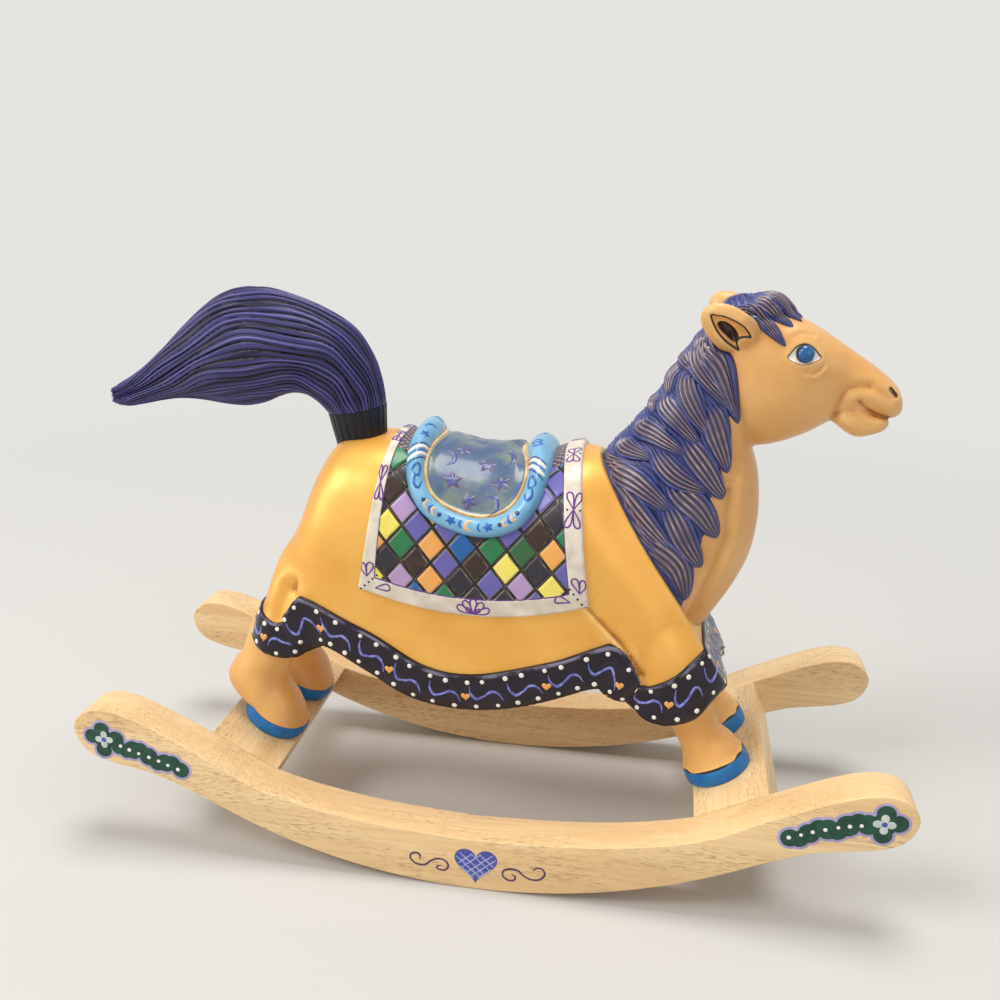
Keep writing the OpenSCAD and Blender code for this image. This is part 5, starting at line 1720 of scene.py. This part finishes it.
def saddle_inset(turn, run):
    at = np.round(run * (len(fine_rings) - 1 + inner)).astype(int)
    reach, broad = saddle_edge(turn * 2 * math.pi)
    deep = np.clip((at - len(fine_rings) + 1) / inner, 0, 1)
    on_roll = fine_rings[np.minimum(at, len(fine_rings) - 1)]
    return on_roll + (reach / broad - on_roll) * deep


saddle = wrapped("glazed_saddle", turns, len(fine_rings) - 1 + inner,
                 lambda turn, run: saddle_spot(turn * 2 * math.pi, saddle_inset(turn, run)),
                 keep={"inset": saddle_inset})
smooth(saddle)
glaze = Finish("saddle glaze", 0.34, coat=0.3, coat_roughness=0.12)
inset = glaze.kept("inset")
swirl = glaze.cloud(glaze.spot(), 70.0, 3)
cloudy = glaze.cloud(glaze.spot(), 150.0, 4)
sky = glaze.mix(glaze.between(cloudy, 0.35, 0.75), colour(104, 162, 200), colour(128, 182, 212))
slate = glaze.mix(glaze.between(swirl, 0.38, 0.66), colour(62, 88, 120), colour(112, 126, 118))
slate = glaze.over(slate, (70, 82, 134), cloudy, 0.50, 0.72)
gold = glaze.mix(glaze.between(cloudy, 0.4, 0.7), colour(228, 196, 140), colour(196, 150, 84))
tone = glaze.mix(glaze.between(inset, 10.25, 10.4), sky, gold)
tone = glaze.over(tone, (232, 220, 196), inset, 12.0, 12.1)
tone = glaze.mix(glaze.between(inset, 12.5, 12.65), tone, slate)
glaze.set("Base Color", tone)
saddle.data.materials.append(glaze.material)
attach(saddle, "root")
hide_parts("saddle")

saddle_ground = Surface(saddle)


def on_saddle(side, degrees, inset):
    return saddle_spot(np.radians(np.array([degrees * -side], float)), np.array([inset], float))[0]


def on_seat(side, x, s):
    angle = math.atan2(s, x - saddle_x)
    reach, broad = saddle_edge(angle)
    return on_saddle(side, math.degrees(angle), (reach - math.hypot(x - saddle_x, s)) / broad)


def star(angle):
    """A five-pointed star's reach by angle, with a point up."""
    part = (angle - math.pi / 2) / (2 * math.pi / 5)
    return 0.46 + 0.54 * np.abs(2 * (part - np.floor(part)) - 1) ** 1.2


def turned_star(angle):
    return star(angle + 0.45)


deep_blue, navy, tan_spots, cream_lines, mauve, mauve_edge = [], [], [], [], [], []
for side in (-1, 1):
    for degrees in (141.6, 37.2):
        for shift, kind, size in ((-2.6, navy, 0.8), (-1.3, cream_lines, 1.7), (0, navy, 0.6),
                                  (1.3, cream_lines, 1.7), (2.6, navy, 0.8)):
            line = [on_saddle(side, degrees + shift * 1.75, d) for d in (0.6, 2.5, 5, 7.5, 10.2)]
            kind.append(stroke(saddle_ground, line, [size * 0.7, size, size, size, size * 0.8],
                               0.18 if kind is navy else 0.24, 3))
    for degrees, way in ((129, 1), (50, -1), (15, -1)):
        curl = [(-3.2, 7.8), (-4.4, 5.2), (-1.6, 3.2), (0.6, 5.0), (-0.6, 6.6), (2.2, 7.8),
                (4.6, 5.8), (3.2, 3.2), (1.2, 4.2)]
        line = [on_saddle(side, degrees + way * a * 1.2, d) for a, d in curl]
        deep_blue.append(stroke(saddle_ground, line, [0.5, 1.4, 1.5, 1.2, 1.1, 1.4, 1.5, 1.2, 0.4],
                                0.16, 3))
    for degrees in (118, 62, 107.5, 72.5):
        navy.append(dab(saddle_ground, on_saddle(side, degrees, 5.2), 1.05, 0.25))
    for degrees in (115.5, 110.5, 69.5, 64.5):
        tan_spots.append(stroke(saddle_ground, [on_saddle(side, degrees + a, d) for a, d in
                                                ((-1.4, 3.2), (0.8, 3.8), (1.1, 6.2), (-0.8, 7.4))],
                                [0.4, 1.5, 1.5, 0.4], 0.18, 3))
    tan_spots.append(stroke(saddle_ground, [on_saddle(side, 90 + a, d) for a, d in
                                            ((-1.8, 2.4), (1.9, 3.6), (1.9, 6.8), (-2.0, 8.2))],
                            [0.3, 2.0, 2.0, 0.3], 0.2, 4))
    for degrees in (113.0, 67.0, 95.5, 84.5):
        deep_blue.append(stroke(saddle_ground, [on_saddle(side, degrees + a, d) for a, d in
                                                ((-1.0, 2.8), (0.6, 5.0), (-0.4, 7.6))],
                                [0.3, 1.5, 0.3], 0.16, 3))
    for degrees in (101, 79):
        deep_blue.append(dab(saddle_ground, on_saddle(side, degrees, 5.2), 2.7, 0.2, turned_star))
    deep_blue.append(dab(saddle_ground, on_saddle(side, 154, 5.4), 2.9, 0.2, star))
    deep_blue.append(stroke(saddle_ground, [on_saddle(side, 166 + a, d) for a, d in
                                            ((-3.0, 3.4), (0.8, 4.6), (1.6, 7.8))],
                            [0.3, 2.2, 0.5], 0.16, 4))
    for x, s, size, shape in ((-20.0, 27.5, 5.2, star), (-11.5, 33.5, 4.4, turned_star),
                              (-6.0, 17.5, 4.8, star), (2.0, 25.5, 4.8, turned_star),
                              (-19.0, 11.0, 4.4, turned_star)):
        spot = on_seat(side, x, s)
        mauve_edge.append(dab(saddle_ground, spot, size, 0.10, shape))
        mauve.append(dab(saddle_ground, spot, size * 0.76, 0.20, shape))
    for x, s in ((-24.0, 18.0), (-1.0, 34.0), (4.0, 14.0)):
        line = [on_seat(side, x + a, s + b)
                for a, b in ((-2.6, -3.6), (1.6, -2.4), (2.4, 1.4), (-0.8, 4.4))]
        mauve.append(stroke(saddle_ground, line, [0.3, 2.3, 2.3, 0.3], 0.12, 5))
for name, parts, paint in (
        ("saddle_blue_marks", deep_blue, (14, 82, 158)), ("saddle_navy_lines", navy, (36, 38, 96)),
        ("saddle_tan_marks", tan_spots, (206, 170, 128)),
        ("saddle_cream_bands", cream_lines, (236, 226, 206)),
        ("seat_star_edges", mauve_edge, (92, 66, 88)), ("seat_stars", mauve, (62, 70, 128))):
    piece = joined(name, parts)
    smooth(piece, 60)
    brushed = Finish(name + "_paint", 0.3, coat=0.5, coat_roughness=0.12)
    brushed.mottle(600.0, paint, [min(255, c + 14) for c in paint])
    piece.data.materials.append(brushed.material)
    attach(piece, "root")

# ---------------------------------------------------------------- rocker decoration
# Both outer faces of the boards are painted by brush: a scalloped green vine with white dots and
# a flower out at each end, and a periwinkle heart between two plum scrolls in the middle.


outer_y = 70.5
heart_x, heart_z, heart_reach = 2.1, 11.4, 9.6


class BoardFace:
    """The outer face of one board, to paint on."""

    def __init__(self, side):
        self.side, self.y = side, side * outer_y

    def lay(self, where):
        spots = np.array(where, float)
        spots[:, 1] = self.y
        return spots, np.tile([0.0, float(self.side), 0.0], (len(spots), 1))


def paint_spot(face, x, z, size, height, outline=None, steps=24):
    """A flat spot of paint with a soft edge, round or filling outline(angle)."""
    def shape(turn, run):
        angle = turn * 2 * math.pi
        reach = size * (outline(angle) if outline else 1.0) * np.sin(run * math.pi / 2)
        rise = height * (1 - run ** 8) - 0.1 * (run > 0.99)
        return np.stack([x + reach * np.cos(angle), face.y + face.side * rise,
                         z + reach * np.sin(angle)], axis=1)
    return wrapped("paint spot", steps, 4, shape)


def petal(angle):
    return 0.36 + 0.64 * np.abs(np.cos(angle * 2)) ** 0.8


vines = [
    ((-164.0, 52.5), 4.4,
     [(-165.0, 57.0, 3.8), (-169.5, 53.5, 3.6), (-164.5, 47.5, 3.8), (-158.5, 53.5, 3.8),
      (-157.5, 49.5, 3.8), (-151.0, 48.8, 4.6), (-143.8, 46.5, 4.6), (-136.2, 44.2, 4.5),
      (-129.2, 41.6, 4.0)],
     [(-156.5, 50.2), (-152.5, 48.8), (-148.2, 47.5), (-143.6, 46.2), (-139.2, 44.9),
      (-135.0, 43.3), (-130.5, 41.8)]),
    ((164.6, 54.4), 4.8,
     [(170.0, 55.2, 4.0), (164.8, 59.0, 4.0), (164.6, 49.4, 3.9), (158.6, 53.4, 4.8),
      (151.0, 51.8, 5.0), (143.6, 49.2, 4.8), (136.6, 46.4, 4.6), (129.6, 43.4, 4.2)],
     [(156.1, 52.7), (151.7, 51.8), (147.4, 50.7), (142.6, 49.0), (137.9, 47.3), (133.6, 45.4),
      (129.0, 43.6)])]
scrolls = [
    [(-22.3, 11.5), (-22.3, 13.7), (-24.3, 14.6), (-26.4, 13.2), (-26.2, 11.0), (-23.9, 9.1),
     (-20.2, 9.0), (-17.7, 11.2), (-14.8, 12.8), (-11.5, 12.5), (-9.8, 10.0), (-11.1, 7.7),
     (-14.0, 7.6), (-14.8, 9.0), (-12.8, 9.7)],
    [(17.6, 9.5), (19.2, 8.8), (18.8, 6.8), (16.3, 6.5), (14.0, 8.2), (14.2, 10.9), (17.1, 12.2),
     (20.5, 11.7), (22.5, 9.7), (25.9, 8.2), (29.6, 8.6), (31.8, 11.3), (30.8, 13.9), (28.3, 14.2),
     (26.8, 12.6)]]
edging, leaves, petals, dots, centres = [], [], [], [], []
plum, heart_fill, heart_lines = [], [], []
for side in (-1, 1):
    face = BoardFace(side)
    for (x, z), long, lobes, pearls in vines:
        chain = lobes[3:]
        lobes = lobes + [
            ((a + c) / 2, (b + d) / 2 + 1.5 * (-1) ** k, 0.86 * e)
            for k, ((a, b, e), (c, d, _)) in enumerate(zip(chain, chain[1:]))]
        lobes = lobes + [(x, z, long + 0.6)]
        for k, (a, b, size) in enumerate(lobes):
            edging.append(paint_spot(face, a, b, size + 1.2, 0.05 + 0.006 * k))
            leaves.append(paint_spot(face, a, b, size, 0.18 + 0.008 * k))
        petals.append(paint_spot(face, x, z, long, 0.36, petal, 64))
        centres.append(paint_spot(face, x, z, 1.25, 0.46))
        for k, (a, b) in enumerate(pearls):
            dots.append(paint_spot(face, a, b, 0.85 + 0.08 * math.sin(k * 2.3), 0.40))
    for line in scrolls:
        plum.append(stroke(
            face, [(a, face.y, b) for a, b in line],
            [0.5, 1.0, 1.2, 1.1, 0.9, 1.1, 1.3, 1.1, 0.9, 1.0, 1.2, 1.1, 0.9, 1.0, 0.5], 0.16, 3))
    heart_fill.append(paint_spot(face, heart_x, heart_z, heart_reach, 0.16, heart, 96))
    for k in range(-2, 3):
        for lean in (-1, 1):
            middle = heart_x + k * 4.1 + 0.4 * math.sin(k * 2.1 + lean)
            ends = []
            for reach in np.linspace(-9, 9, 61):
                a, b = middle + reach * 0.75, 11.6 + lean * reach * 0.66
                away = math.hypot(a - heart_x, b - heart_z)
                if away < heart_reach * float(heart(math.atan2(b - heart_z, a - heart_x))) - 0.7:
                    ends.append((a, face.y, b))
            if len(ends) > 6:
                heart_lines.append(stroke(face, [ends[0], ends[len(ends) // 2], ends[-1]],
                                          [0.45, 0.65, 0.45], 0.24, 4))
for name, parts, tones in (
        ("vine_edging", edging, ((160, 146, 188), (178, 164, 200))),
        ("vine_leaves", leaves, ((8, 58, 44), (22, 78, 56))),
        ("vine_petals", petals, ((184, 194, 188), (206, 212, 206))),
        ("vine_dots", dots, ((232, 230, 222), (246, 244, 238))),
        ("vine_flower_centres", centres, ((58, 76, 156), (74, 94, 172))),
        ("plum_scrolls", plum, ((70, 46, 80), (90, 62, 98))),
        ("periwinkle_hearts", heart_fill, ((66, 70, 150), (88, 92, 168))),
        ("heart_crossing_lines", heart_lines, ((160, 166, 214), (180, 184, 224)))):
    piece = joined(name, parts)
    smooth(piece, 40)
    brushed = Finish(name + "_paint", 0.4, coat=0.2, coat_roughness=0.25)
    brushed.set("Base Color",
                brushed.mix(brushed.between(brushed.cloud(brushed.spot(), 320.0, 3), 0.35, 0.7),
                            colour(*tones[0]), colour(*tones[1])))
    piece.data.materials.append(brushed.material)
    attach(piece, "root")
